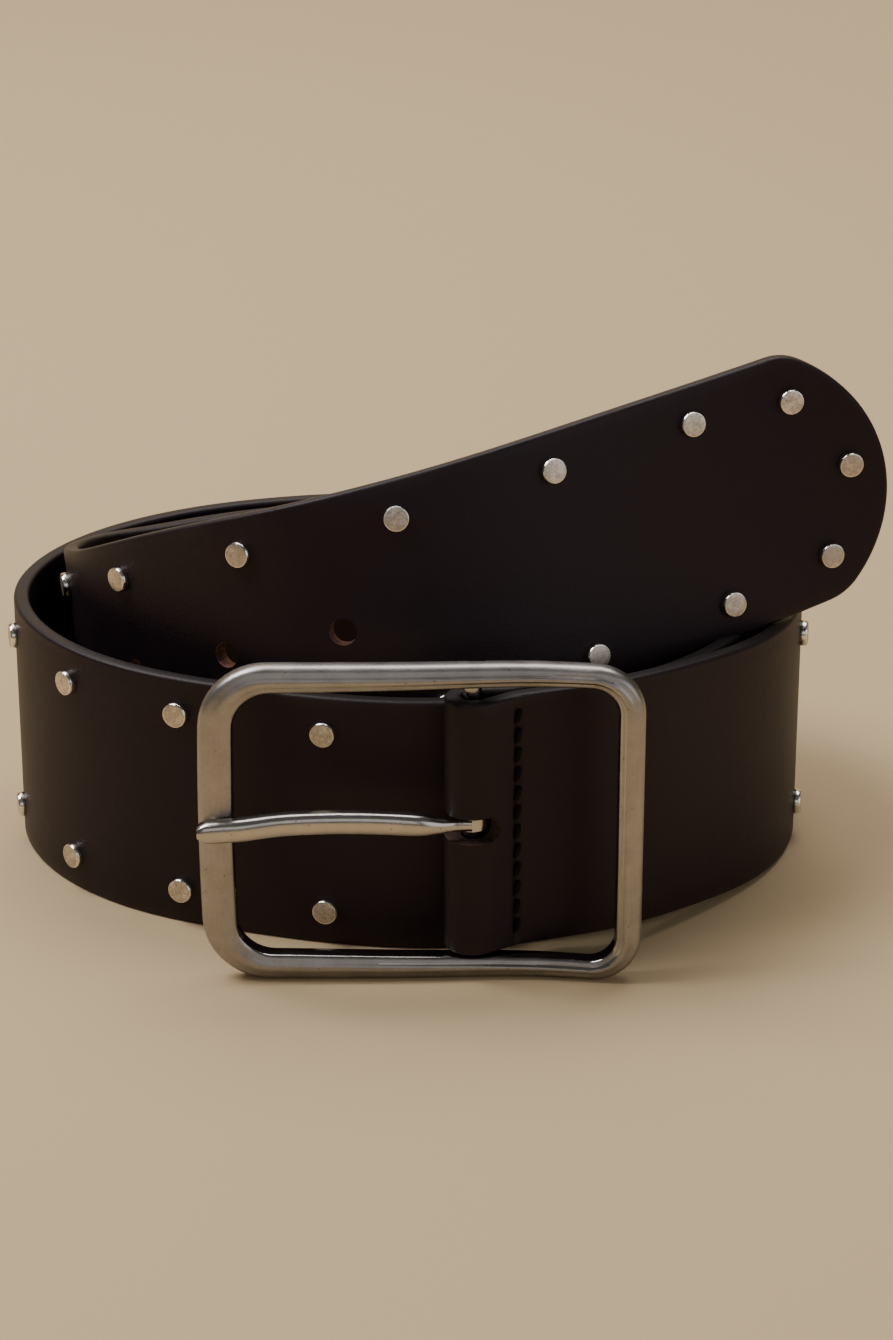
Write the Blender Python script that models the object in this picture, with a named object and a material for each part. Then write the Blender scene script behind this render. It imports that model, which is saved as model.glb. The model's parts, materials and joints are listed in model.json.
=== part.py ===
"""Studded leather belt, loosely coiled and standing on its edge.

The open centre-bar buckle stands at the front. From its fold the strap runs to the right,
twice round the loop, and its tail climbs across the front and over the right-hand rims.
Sizes are in metres, +Z is up, and the front of the belt faces -Y.
"""

import math

import bmesh
import bpy
import numpy as np
from mathutils import Matrix, Vector

# The strap
STRAP_WIDTH = 0.050
STRAP_THICKNESS = 0.003
BELT_LENGTH = 0.8824
EDGE_CHAMFER = 0.0006
TIP_RADIUS = 0.029
TIP_CORNER_RADIUS = 0.0100
STATION_LENGTH = 0.009
STATION_TURN = math.radians(22)
TIP_CORNER_STEPS = 4
TIP_ARC_STEPS = 7
SMOOTH_ANGLE = math.radians(35)
FIT_GAP = 0.0003

# The coil, seen from above: the outer face of the first turn
LOOP_HALF_WIDTH = 0.0769
LOOP_HALF_DEPTH = 0.0560
TURN_CLEARANCE = 0.0010

# The fold round the centre bar
PINCH_LENGTH = 0.0088
FLAP_LENGTH = 0.016
SLOT_HEIGHT = 0.005
SLOT_PAST_ROLL = 0.0036
SLOT_END_STEPS = 8
LIFT_RUN = 0.080
PINCH_SAMPLES = 24
ROLL_SAMPLES = 48
ROUTE_SAMPLES = 1800
RUN_ON_SAMPLES = 40

# The studs
STUD_DIAMETER = 0.005
STUD_HEIGHT = 0.0014
STUD_EDGE = 0.0003
SEAT_GAP = 0.0005
STUD_SIDES = 12
SHANK_DIAMETER = 0.0016
SHANK_GAP = 0.0005
SHANK_SIDES = 6
STUD_FROM_EDGE = 0.007
FIRST_PAIR_FROM_TIP = 0.0363
TIP_STUD_FROM_TIP = 0.007
TIP_PAIR_FROM_TIP = 0.0153
TIP_PAIR_FROM_EDGE = 0.009

# The pairs of studs from the first one at the tip towards the bar: how many follow, and how far
# each is from the one before it. They are set by hand, so the pitch is not quite even.
STUD_STRETCHES = [
    ("along the tail and round the second turn", 15, 0.0300),
    ("left of the buckle", 1, 0.0285),
    ("round the left of the first turn", 2, 0.0257),
    ("round the back and the right of the first turn", 7, 0.0314),
]

# The sizing holes
HOLE_DIAMETER = 0.005
HOLE_PITCH = 0.0245
HOLE_COUNT = 5
HOLE_SIDES = 14
FIRST_HOLE_FROM_TIP = 0.1108

# The buckle frame, measured from the axis of its centre bar
BAR_DIAMETER = 0.0034
BAR_SIDES = 14
BAR_TO_LEFT_END = 0.0485
BAR_TO_RIGHT_END = 0.0308
LEFT_BAR_WIDTH = 0.0060
RIGHT_BAR_WIDTH = 0.0048
LONG_BAR_LEFT = 0.0052
LONG_BAR_RIGHT = 0.0040
WINDOW_CLEARANCE = 0.0008
FRAME_DEPTH = 0.0043
BAR_BEHIND_FRONT = 0.0056
LEFT_CORNER_RADIUS = 0.0118
RIGHT_CORNER_RADIUS = 0.0090
END_BOW = 0.0008
FRAME_ROUND = 0.0010
FRAME_CORNER_STEPS = 5
FRAME_SIDE_STEPS = (6, 4, 6, 4)
DIP_AT_BAR = 0.0008
DIP_CENTRE = 0.0078
DIP_REACH = 0.0156
RISE_AT_RIGHT_END = 0.0012
RISE_FROM = 0.0094

# The prong
PRONG_HEIGHT = 0.0042
PRONG_THICKNESS = 0.0028
NECK_HEIGHT = 0.0024
NECK_THICKNESS = 0.0018
EYE_WALL = 0.0009
EYE_ABOVE_MIDDLE = 0.0004
PRONG_RISE = 0.0015
EYE_SIDES = 18

FRAME_HEIGHT = STRAP_WIDTH + 2 * WINDOW_CLEARANCE + 2 * LONG_BAR_LEFT
BUCKLE_LIFT = (LONG_BAR_LEFT + LONG_BAR_RIGHT) / 2 + FIT_GAP
EYE_LEVEL = BUCKLE_LIFT + STRAP_WIDTH / 2 + EYE_ABOVE_MIDDLE
TURN_STEP = STRAP_THICKNESS + STUD_HEIGHT + SEAT_GAP + TURN_CLEARANCE
ROLL_RADIUS = BAR_DIAMETER / 2 + FIT_GAP + STRAP_THICKNESS / 2

# Where the strap's outer face runs, seen from above: x and y as shares of the loop's half width
# and half depth. The strap leaves the stitches beside the bar, then follows the outline.
LEAVING_THE_FOLD = [
    ("stitches beside the bar", 0.274, -1.145),
    ("front right", 0.461, -1.039),
]

# The loop's outline, which the first turn follows, and how many turn steps inside it the
# second turn lies there.
OUTLINE = [
    ("right of the buckle", 0.690, -0.791, 1.00),
    ("right front", 0.894, -0.458, 1.03),
    ("right", 0.990, -0.084, 1.02),
    ("right back", 0.962, 0.295, 1.05),
    ("back right corner", 0.811, 0.621, 1.05),
    ("back right", 0.567, 0.842, 1.04),
    ("back, right of middle", 0.276, 0.955, 1.02),
    ("back", -0.029, 0.983, 1.00),
    ("back, left of middle", -0.325, 0.940, 0.98),
    ("back left", -0.588, 0.822, 1.00),
    ("back left corner", -0.772, 0.658, None),
    ("left back", -0.939, 0.373, None),
    ("left", -1.004, -0.010, None),
    ("left front", -0.911, -0.402, None),
    ("front left", -0.687, -0.712, None),
    ("left of the buckle", -0.370, -0.902, None),
    ("behind the buckle", -0.012, -1.006, None),
]

# The tail, from the left bend to past its tip: x and y as above, how far its middle has
# climbed as a share of the strap's width, and how far its top edge leans out in turn steps.
TAIL = [
    ("back left corner", -0.745, 0.538, 0.016, 0.060),
    ("left bend, back", -0.850, 0.230, 0.076, 0.420),
    ("left bend, front", -0.798, -0.176, 0.203, 0.100),
    ("front left", -0.554, -0.552, 0.441, -0.150),
    ("above the buckle's left end", -0.244, -0.792, 0.640, -0.580),
    ("above the centre bar", 0.114, -0.799, 0.788, -0.936),
    ("right of the buckle", 0.510, -0.555, 0.899, -0.920),
    ("outside the rims", 0.937, -0.278, 1.034, -0.427),
    ("past the tip", 1.356, -0.128, 1.240, 0.384),
]


def clear_scene():
    """Remove the objects that the file holds when it opens."""
    for item in list(bpy.data.objects):
        bpy.data.objects.remove(item, do_unlink=True)


def principled(name, colour, roughness, metallic):
    """A material with one Principled shader."""
    material = bpy.data.materials.new(name)
    material.use_nodes = True
    shader = material.node_tree.nodes["Principled BSDF"]
    shader.inputs["Base Color"].default_value = (*colour, 1.0)
    shader.inputs["Roughness"].default_value = roughness
    shader.inputs["Metallic"].default_value = metallic
    material.diffuse_color = (*colour, 1.0)
    return material


def add_object(name, mesh, material):
    """Link an object that carries the mesh, smooth on its round stretches."""
    if material.name not in mesh.materials:
        mesh.materials.append(material)
    mesh.shade_smooth()
    mesh.set_sharp_from_angle(angle=SMOOTH_ANGLE)
    item = bpy.data.objects.new(name, mesh)
    bpy.context.scene.collection.objects.link(item)
    return item


def smoothstep(value):
    """Rise from 0 to 1 with level ends."""
    share = np.clip(value, 0.0, 1.0)
    return share * share * (3.0 - 2.0 * share)


# The route of the strap

def open_curve(rows, count):
    """A smooth curve through the rows, spaced by their first two columns, read evenly."""
    spans = np.linalg.norm(np.diff(rows[:, :2], axis=0), axis=1)
    knots = np.concatenate(([0.0], np.cumsum(spans)))
    slopes = np.diff(rows, axis=0) / spans[:, None]
    size = len(rows)
    system = np.eye(size)
    pulls = np.zeros_like(rows)
    for k in range(1, size - 1):
        system[k, k - 1] = spans[k - 1]
        system[k, k] = 2.0 * (spans[k - 1] + spans[k])
        system[k, k + 1] = spans[k]
        pulls[k] = 6.0 * (slopes[k] - slopes[k - 1])
    bends = np.linalg.solve(system, pulls)
    places = np.linspace(0.0, knots[-1], count)
    k = np.clip(np.searchsorted(knots, places, side="right") - 1, 0, size - 2)
    span = spans[k][:, None]
    past = (places - knots[k])[:, None]
    left = span - past
    return (
        (bends[k] * left**3 + bends[k + 1] * past**3) / (6.0 * span)
        + (rows[k] / span - bends[k] * span / 6.0) * left
        + (rows[k + 1] / span - bends[k + 1] * span / 6.0) * past
    )


def unit(vectors):
    """The vectors with length 1."""
    return vectors / np.linalg.norm(vectors, axis=-1, keepdims=True)


def right_hand(tangents):
    """The horizontal direction to the right of each direction of travel: outward."""
    flat = np.stack([tangents[:, 1], -tangents[:, 0]], axis=1)
    return unit(flat)


def route_rows():
    """Plan places of the strap's outer face, with its climb and its lean, in order."""
    half = np.array([LOOP_HALF_WIDTH, LOOP_HALF_DEPTH])
    leaving = np.array([row[1:3] for row in LEAVING_THE_FOLD]) * half
    outline = np.array([row[1:3] for row in OUTLINE]) * half
    ahead = np.roll(outline, -1, axis=0) - np.roll(outline, 1, axis=0)
    outward = right_hand(ahead)
    second = [
        point - side * row[3] * TURN_STEP
        for point, side, row in zip(outline, outward, OUTLINE) if row[3] is not None
    ]
    level = [(x, y, 0.0, 0.0) for x, y in (*leaving, *outline, *second)]
    tail = [
        (x * half[0], y * half[1], climb * STRAP_WIDTH, math.asin(lean * TURN_STEP / (STRAP_WIDTH / 2)))
        for _, x, y, climb, lean in TAIL
    ]
    return np.array(level + tail)


class Route:
    """The middle line of the strap from the end of its flap to past its tip."""

    def __init__(self):
        self.lay_turns()
        self.lay_fold()
        self.measure()

    def lay_turns(self):
        """The stretch from the stitches beside the bar to past the tip."""
        curve = open_curve(route_rows(), ROUTE_SAMPLES)
        face = curve[:, :2]
        outward = right_hand(np.gradient(face, axis=0))
        self.turns = face - outward * STRAP_THICKNESS / 2
        self.turn_leans = curve[:, 3]
        runs = np.linalg.norm(np.diff(self.turns, axis=0), axis=1)
        gone = np.concatenate(([0.0], np.cumsum(runs)))
        lift = BUCKLE_LIFT * (1.0 - smoothstep(gone / LIFT_RUN))
        self.turn_heights = STRAP_WIDTH / 2 + lift + np.maximum(curve[:, 2], 0.0)

    def lay_fold(self):
        """The flap, the roll round the centre bar and the way to the stitches."""
        ahead = unit(self.turns[1] - self.turns[0])
        inward = np.array([-ahead[1], ahead[0]])
        half_pair = (STRAP_THICKNESS + FIT_GAP) / 2
        self.bar = self.turns[0] + inward * half_pair - ahead * PINCH_LENGTH
        distances = np.linspace(0.0, PINCH_LENGTH, PINCH_SAMPLES)
        offsets = ROLL_RADIUS + (half_pair - ROLL_RADIUS) * smoothstep(distances / PINCH_LENGTH)
        straight = self.bar + distances[:, None] * ahead
        near_side = straight - offsets[:, None] * inward
        far_side = straight + offsets[:, None] * inward
        flap_run = FLAP_LENGTH - PINCH_LENGTH
        spacing = np.linalg.norm(self.turns[1] - self.turns[0])
        flap_count = max(int(flap_run / spacing), 2)
        outward = right_hand(np.gradient(self.turns, axis=0))[1:flap_count]
        flap = self.turns[1:flap_count] - outward * 2.0 * half_pair
        start = math.atan2(inward[1], inward[0])
        angles = start + np.linspace(0.0, math.pi, ROLL_SAMPLES)[1:-1]
        roll = self.bar + ROLL_RADIUS * np.stack([np.cos(angles), np.sin(angles)], axis=1)
        self.before_roll = np.concatenate([flap[::-1], far_side[::-1]])
        plan = np.concatenate([self.before_roll, roll, near_side[:-1], self.turns])
        fold_count = len(plan) - len(self.turns)
        self.apex = len(self.before_roll) + len(roll) // 2
        heights = np.concatenate([np.full(fold_count, self.turn_heights[0]), self.turn_heights])
        self.leans = np.concatenate([np.full(fold_count, self.turn_leans[0]), self.turn_leans])
        self.points = np.column_stack([plan, heights])
        self.run_on()

    def run_on(self):
        """Carry the line straight on past the last row, by one tip radius, so the tip fits."""
        last_step = unit(self.points[-1] - self.points[-2])
        gone = np.linalg.norm(np.diff(self.points[self.apex:], axis=0), axis=1).sum()
        missing = max(BELT_LENGTH - gone, 0.0) + TIP_RADIUS
        further = np.linspace(0.0, missing, RUN_ON_SAMPLES + 1)[1:, None]
        self.points = np.concatenate([self.points, self.points[-1] + last_step * further])
        self.leans = np.concatenate([self.leans, np.full(RUN_ON_SAMPLES, self.leans[-1])])

    def measure(self):
        """Lengths along the route, from the apex of the roll, and its directions."""
        steps = np.linalg.norm(np.diff(self.points, axis=0), axis=1)
        lengths = np.concatenate(([0.0], np.cumsum(steps)))
        self.lengths = lengths - lengths[self.apex]
        self.roll_half = math.pi / 2 * ROLL_RADIUS
        self.tangents = unit(np.gradient(self.points, self.lengths, axis=0))

    def read(self, values, length):
        """A value or a vector of the route at one length along it."""
        if values.ndim == 1:
            return float(np.interp(length, self.lengths, values))
        columns = [np.interp(length, self.lengths, values[:, k]) for k in range(3)]
        return np.array(columns)

    def frame_at(self, length):
        """The middle point and the directions along, across and out of the strap there."""
        along = unit(self.read(self.tangents, length))
        out = unit(np.array([along[1], -along[0], 0.0]))
        across = np.cross(out, along)
        lean = self.read(self.leans, length)
        leaned = across * math.cos(lean) + out * math.sin(lean)
        outward = out * math.cos(lean) - across * math.sin(lean)
        return self.read(self.points, length), along, leaned, outward

    def place(self, length, height, depth):
        """A point of the strap: along it, across it from its middle, and out of its face."""
        middle, _, across, outward = self.frame_at(length)
        return Vector(middle + across * height + outward * depth)

    def seat(self, length, height):
        """The place and the turn of a piece that lies flat on the strap there."""
        step = STRAP_THICKNESS / 2
        before = self.place(length - step, height, 0.0)
        after = self.place(length + step, height, 0.0)
        below = self.place(length, height - step, 0.0)
        above = self.place(length, height + step, 0.0)
        along = (after - before).normalized()
        outward = along.cross(above - below).normalized()
        across = outward.cross(along)
        turn = Matrix((along, across, outward)).transposed().to_4x4()
        return Matrix.Translation(self.place(length, height, 0.0)) @ turn

    def stations(self, last):
        """Lengths at which the strap is cut across, closer together where it bends."""
        inside = self.lengths <= last
        lengths = self.lengths[inside]
        turning = np.linalg.norm(np.diff(self.tangents[inside], axis=0), axis=1)
        effort = np.diff(lengths) / STATION_LENGTH + turning / STATION_TURN
        total = np.concatenate(([0.0], np.cumsum(effort)))
        count = int(math.ceil(total[-1]))
        return np.interp(np.linspace(0.0, total[-1], count + 1), total, lengths)


# The strap, built flat and then laid along its route

def tip_sections():
    """Lengths and half widths of the rounded tip, from its first narrowing to its end."""
    half = STRAP_WIDTH / 2
    arc_centre = BELT_LENGTH - TIP_RADIUS
    corner_height = half - TIP_CORNER_RADIUS
    reach = math.sqrt((TIP_RADIUS - TIP_CORNER_RADIUS) ** 2 - corner_height**2)
    meeting = math.atan2(corner_height, reach)
    sections = []
    for k in range(TIP_CORNER_STEPS):
        angle = math.pi / 2 + (meeting - math.pi / 2) * k / TIP_CORNER_STEPS
        length = arc_centre + reach + TIP_CORNER_RADIUS * math.cos(angle)
        sections.append((length, corner_height + TIP_CORNER_RADIUS * math.sin(angle)))
    for k in range(TIP_ARC_STEPS):
        angle = meeting * (1.0 - k / (TIP_ARC_STEPS - 0.5))
        length = arc_centre + TIP_RADIUS * math.cos(angle)
        sections.append((length, TIP_RADIUS * math.sin(angle)))
    return sections


def flat_strap_mesh(route):
    """The strap laid out straight: sections joined along its length, closed at both ends."""
    tip = tip_sections()
    half = STRAP_WIDTH / 2
    sections = [(length, half) for length in route.stations(tip[0][0])[:-1]]
    sections.extend(tip)
    deep = STRAP_THICKNESS / 2
    shape = bmesh.new()
    rings = []
    for length, width in sections:
        low = width - EDGE_CHAMFER
        side = deep - EDGE_CHAMFER
        corners = [
            (low, deep), (width, side), (width, -side), (low, -deep),
            (-low, -deep), (-width, -side), (-width, side), (-low, deep),
        ]
        rings.append([shape.verts.new((length, h, t)) for h, t in corners])
    for ring, following in zip(rings, rings[1:]):
        for k in range(8):
            j = (k + 1) % 8
            shape.faces.new((ring[k], ring[j], following[j], following[k]))
    shape.faces.new(reversed(rings[0]))
    shape.faces.new(rings[-1])
    bmesh.ops.recalc_face_normals(shape, faces=shape.faces)
    mesh = bpy.data.meshes.new("strap_flat")
    shape.to_mesh(mesh)
    shape.free()
    return mesh


def add_prism(shape, outline, low, high):
    """A closed prism over an outline of points in the strap's own plane."""
    bottom = [shape.verts.new((x, y, low)) for x, y in outline]
    top = [shape.verts.new((x, y, high)) for x, y in outline]
    count = len(outline)
    for k in range(count):
        j = (k + 1) % count
        shape.faces.new((bottom[k], bottom[j], top[j], top[k]))
    shape.faces.new(reversed(bottom))
    shape.faces.new(top)


def circle(centre, across, radius, sides):
    """Points of a round outline about a place along and across the strap."""
    angles = [2.0 * math.pi * k / sides for k in range(sides)]
    return [(centre + radius * math.cos(a), across + radius * math.sin(a)) for a in angles]


def slot_outline(reach):
    """The prong's slot: a straight slot with round ends, across the apex of the fold."""
    radius = SLOT_HEIGHT / 2
    points = []
    for k in range(SLOT_END_STEPS + 1):
        angle = -math.pi / 2 + math.pi * k / SLOT_END_STEPS
        points.append((reach - radius + radius * math.cos(angle), radius * math.sin(angle)))
    return points + [(-x, -y) for x, y in points]


def stud_places():
    """Name, length from the bar and height across the strap of every stud."""
    row = STRAP_WIDTH / 2 - STUD_FROM_EDGE
    tip_row = STRAP_WIDTH / 2 - TIP_PAIR_FROM_EDGE
    places = [
        ("stud_tip_middle", BELT_LENGTH - TIP_STUD_FROM_TIP, 0.0),
        ("stud_tip_upper", BELT_LENGTH - TIP_PAIR_FROM_TIP, tip_row),
        ("stud_tip_lower", BELT_LENGTH - TIP_PAIR_FROM_TIP, -tip_row),
    ]
    pair_lengths = [BELT_LENGTH - FIRST_PAIR_FROM_TIP]
    for _, count, pitch in STUD_STRETCHES:
        for _ in range(count):
            pair_lengths.append(pair_lengths[-1] - pitch)
    for number, length in enumerate(pair_lengths, start=1):
        places.append((f"stud_upper_{number:02d}", length, row))
        places.append((f"stud_lower_{number:02d}", length, -row))
    return places


def sizing_holes():
    """Lengths from the bar of the sizing holes."""
    return [BELT_LENGTH - FIRST_HOLE_FROM_TIP - k * HOLE_PITCH for k in range(HOLE_COUNT)]


def strap_cutter(route):
    """One mesh of all that is punched through the strap."""
    deep = STRAP_THICKNESS
    shape = bmesh.new()
    add_prism(shape, slot_outline(route.roll_half + SLOT_PAST_ROLL), -deep, deep)
    for length in sizing_holes():
        add_prism(shape, circle(length, 0.0, HOLE_DIAMETER / 2, HOLE_SIDES), -deep, deep)
    hole_radius = SHANK_DIAMETER / 2 + SHANK_GAP
    for _, length, height in stud_places():
        add_prism(shape, circle(length, height, hole_radius, SHANK_SIDES), -deep, deep)
    mesh = bpy.data.meshes.new("punches")
    shape.to_mesh(mesh)
    shape.free()
    return mesh


def evaluated_copy(item):
    """A mesh with the object's modifiers applied."""
    depsgraph = bpy.context.evaluated_depsgraph_get()
    return bpy.data.meshes.new_from_object(item.evaluated_get(depsgraph), depsgraph=depsgraph)


def combine(base, other, operation):
    """The base mesh with the other one cut from it or joined to it."""
    scene = bpy.context.scene
    base_object = bpy.data.objects.new("base", base)
    other_object = bpy.data.objects.new("other", other)
    for item in (base_object, other_object):
        scene.collection.objects.link(item)
    step = base_object.modifiers.new("combine", "BOOLEAN")
    step.operation = operation
    step.solver = "EXACT"
    step.object = other_object
    result = evaluated_copy(base_object)
    for item in (base_object, other_object):
        bpy.data.objects.remove(item, do_unlink=True)
    return result


def strap_mesh(route):
    """The punched strap, laid along its route."""
    mesh = combine(flat_strap_mesh(route), strap_cutter(route), "DIFFERENCE")
    shape = bmesh.new()
    shape.from_mesh(mesh)
    bmesh.ops.triangulate(shape, faces=shape.faces, ngon_method="EAR_CLIP")
    for vert in shape.verts:
        vert.co = route.place(*vert.co)
    shape.to_mesh(mesh)
    shape.free()
    mesh.name = "strap"
    return mesh


# The studs

def stud_mesh():
    """A flat round head with a small edge round, on a thin shank."""
    radius = STUD_DIAMETER / 2
    face = STRAP_THICKNESS / 2
    base = face + SEAT_GAP
    top = base + STUD_HEIGHT
    shank = SHANK_DIAMETER / 2
    rings = [
        (shank, -face, SHANK_SIDES),
        (shank, base, SHANK_SIDES),
        (radius, base, STUD_SIDES),
        (radius, top - STUD_EDGE, STUD_SIDES),
        (radius - STUD_EDGE, top, STUD_SIDES),
    ]
    shape = bmesh.new()
    loops = []
    for ring_radius, depth, sides in rings:
        outline = circle(0.0, 0.0, ring_radius, sides)
        loops.append([shape.verts.new((x, y, depth)) for x, y in outline])
    shape.faces.new(loops[0])
    for ring, following in zip(loops, loops[1:]):
        step = len(ring)
        for k in range(len(following)):
            j = (k + 1) % len(following)
            low = k * step // len(following)
            low_next = j * step // len(following)
            corners = [ring[low], ring[low_next], following[j], following[k]]
            if low == low_next:
                corners = [ring[low], following[j], following[k]]
            shape.faces.new(corners)
    shape.faces.new(loops[-1])
    bmesh.ops.recalc_face_normals(shape, faces=shape.faces)
    mesh = bpy.data.meshes.new("stud")
    shape.to_mesh(mesh)
    shape.free()
    return mesh


# The buckle frame

# The section of its ring: across as a share of the bar's width from the outer side, past it in
# roundings, deep as a share of the frame's depth from its front, and behind that in roundings.
FRAME_SECTION = [
    ("back, outer", 0.00, 1.0, 1.0, 0.0),
    ("outer side, back", 0.00, 0.0, 1.0, -1.0),
    ("outer side, front", 0.00, 0.0, 0.0, 1.2),
    ("outer round", 0.00, 0.5, 0.0, 0.4),
    ("front, outer", 0.30, 0.0, 0.0, 0.0),
    ("front, inner", 0.70, 0.0, 0.0, 0.0),
    ("inner round", 1.00, -0.5, 0.0, 0.4),
    ("inner side, front", 1.00, 0.0, 0.0, 1.2),
    ("inner side, back", 1.00, 0.0, 1.0, -0.5),
    ("back, inner", 1.00, -0.5, 1.0, 0.0),
]


def rounded_outline(left, right, low, high, left_radius, right_radius, bow):
    """Points round a rectangle with round corners, its left end bowed outward."""
    centres = [
        (left + left_radius, low + left_radius, left_radius, math.pi),
        (right - right_radius, low + right_radius, right_radius, 1.5 * math.pi),
        (right - right_radius, high - right_radius, right_radius, 0.0),
        (left + left_radius, high - left_radius, left_radius, 0.5 * math.pi),
    ]
    points = []
    for index, (x, z, radius, start) in enumerate(centres):
        for k in range(FRAME_CORNER_STEPS + 1):
            angle = start + 0.5 * math.pi * k / FRAME_CORNER_STEPS
            points.append((x + radius * math.cos(angle), z + radius * math.sin(angle)))
        x_next, z_next, radius_next, start_next = centres[(index + 1) % 4]
        goal_x = x_next + radius_next * math.cos(start_next)
        goal_z = z_next + radius_next * math.sin(start_next)
        from_x, from_z = points[-1]
        steps = FRAME_SIDE_STEPS[index]
        for k in range(1, steps):
            share = k / steps
            points.append((from_x + (goal_x - from_x) * share, from_z + (goal_z - from_z) * share))
    middle = (low + high) / 2
    bowed = []
    for x, z in points:
        level = 1.0 - ((z - middle) / (high - middle)) ** 2
        near_left = smoothstep((left + left_radius - x) / left_radius)
        bowed.append((x - bow * level * near_left, z))
    return bowed


def depth_wave(x):
    """How far the frame lies behind its left end: back at the bar, forward at the right."""
    dip = DIP_AT_BAR * math.exp(-((x - DIP_CENTRE) / DIP_REACH) ** 2)
    rise = RISE_AT_RIGHT_END * smoothstep((x - RISE_FROM) / (BAR_TO_RIGHT_END - RISE_FROM))
    return dip - rise


def frame_ring_mesh():
    """The rectangular ring, its section carried round the outline."""
    left = -BAR_TO_LEFT_END
    right = BAR_TO_RIGHT_END
    outer = rounded_outline(
        left, right, 0.0, FRAME_HEIGHT, LEFT_CORNER_RADIUS, RIGHT_CORNER_RADIUS, END_BOW
    )
    inner = rounded_outline(
        left + LEFT_BAR_WIDTH, right - RIGHT_BAR_WIDTH,
        LONG_BAR_LEFT, FRAME_HEIGHT - LONG_BAR_LEFT,
        LEFT_CORNER_RADIUS - LONG_BAR_LEFT, RIGHT_CORNER_RADIUS - LONG_BAR_RIGHT, END_BOW / 2,
    )
    shape = bmesh.new()
    rings = []
    middle = FRAME_HEIGHT / 2
    widening = LONG_BAR_LEFT - LONG_BAR_RIGHT
    for (x_out, z_out), (x_in, z_in) in zip(outer, inner):
        taper = smoothstep((x_in - left) / (right - left)) * widening
        z_in += math.copysign(taper, z_in - middle) if abs(z_in - middle) > middle / 2 else 0.0
        away = Vector((x_in - x_out, 0.0, z_in - z_out))
        width = away.length
        away.normalize()
        ring = []
        for _, across, past, deep, behind in FRAME_SECTION:
            reach = across * width + past * FRAME_ROUND
            x = x_out + away.x * reach
            y = -BAR_BEHIND_FRONT + deep * FRAME_DEPTH + behind * FRAME_ROUND
            z = z_out + away.z * reach
            ring.append(shape.verts.new((x, y + depth_wave(x), z)))
        rings.append(ring)
    count = len(rings)
    for k in range(count):
        ring = rings[k]
        following = rings[(k + 1) % count]
        for i in range(len(ring)):
            j = (i + 1) % len(ring)
            shape.faces.new((ring[i], ring[j], following[j], following[i]))
    bmesh.ops.recalc_face_normals(shape, faces=shape.faces)
    mesh = bpy.data.meshes.new("frame_ring")
    shape.to_mesh(mesh)
    shape.free()
    return mesh


def bar_mesh():
    """The round centre bar, its ends inside the two long bars."""
    inset = LONG_BAR_RIGHT / 4
    length = FRAME_HEIGHT - 2 * inset
    shape = bmesh.new()
    bmesh.ops.create_cone(
        shape, cap_ends=True, segments=BAR_SIDES, radius1=BAR_DIAMETER / 2,
        radius2=BAR_DIAMETER / 2, depth=length, matrix=Matrix.Translation((0.0, 0.0, FRAME_HEIGHT / 2)),
    )
    mesh = bpy.data.meshes.new("bar")
    shape.to_mesh(mesh)
    shape.free()
    return mesh


# The prong

# Its sections from the eye to the tip: x as a share of the reach; y as a share of the way from
# the neck's line to the tip's line; its rise; height and thickness as shares of the way from
# the neck's to the body's; and the share of the height that the round tip leaves.
PRONG_SECTIONS = [
    ("inside the eye", 0.000, 0.00, 0.0, 0.0, 0.0, 1.00),
    ("leaving the eye", 0.060, 0.03, 0.0, 0.0, 0.0, 1.00),
    ("in the slot", 0.105, 0.18, 0.1, 0.1, 0.3, 1.00),
    ("shoulder", 0.165, 0.34, 0.4, 0.7, 0.9, 1.00),
    ("body near the slot", 0.260, 0.42, 0.7, 1.0, 1.0, 1.00),
    ("body", 0.450, 0.48, 1.0, 1.0, 1.0, 1.00),
    ("body, middle", 0.600, 0.55, 1.0, 1.0, 1.0, 1.00),
    ("rising to the end bar", 0.740, 0.74, 0.9, 1.0, 1.0, 1.00),
    ("before the end bar", 0.840, 0.94, 0.7, 1.0, 1.0, 1.00),
    ("on the end bar", 0.915, 1.00, 0.6, 1.0, 1.0, 1.00),
    ("tip", 0.980, 1.00, 0.5, 1.0, 0.9, 0.85),
    ("tip end", 1.000, 1.00, 0.5, 1.0, 0.5, 0.50),
]

# Its outline in section: shares of the height, and of the thickness from front to back.
PRONG_DOME = [
    (-0.50, 0.50), (0.50, 0.50), (0.50, -0.02), (0.34, -0.34),
    (0.12, -0.50), (-0.12, -0.50), (-0.34, -0.34), (-0.50, -0.02),
]


def prong_body_mesh():
    """The prong from its eye to its tip, flat behind and half round in front."""
    reach = BAR_TO_LEFT_END + END_BOW
    neck_y = -(BAR_DIAMETER / 2 + FIT_GAP + EYE_WALL / 2)
    tip_y = -(BAR_BEHIND_FRONT + FIT_GAP + PRONG_THICKNESS / 2)
    shape = bmesh.new()
    rings = []
    for _, x_share, y_share, rise, tall, thick, left in PRONG_SECTIONS:
        height = (NECK_HEIGHT + (PRONG_HEIGHT - NECK_HEIGHT) * tall) * left
        depth = NECK_THICKNESS + (PRONG_THICKNESS - NECK_THICKNESS) * thick
        x = -reach * x_share
        y = neck_y + (tip_y - neck_y) * y_share
        z = PRONG_RISE * rise
        rings.append([
            shape.verts.new((x, y + depth * b, z + height * a)) for a, b in PRONG_DOME
        ])
    for ring, following in zip(rings, rings[1:]):
        for k in range(len(ring)):
            j = (k + 1) % len(ring)
            shape.faces.new((ring[k], ring[j], following[j], following[k]))
    shape.faces.new(rings[0])
    shape.faces.new(rings[-1])
    bmesh.ops.recalc_face_normals(shape, faces=shape.faces)
    mesh = bpy.data.meshes.new("prong_body")
    shape.to_mesh(mesh)
    shape.free()
    return mesh


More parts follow.
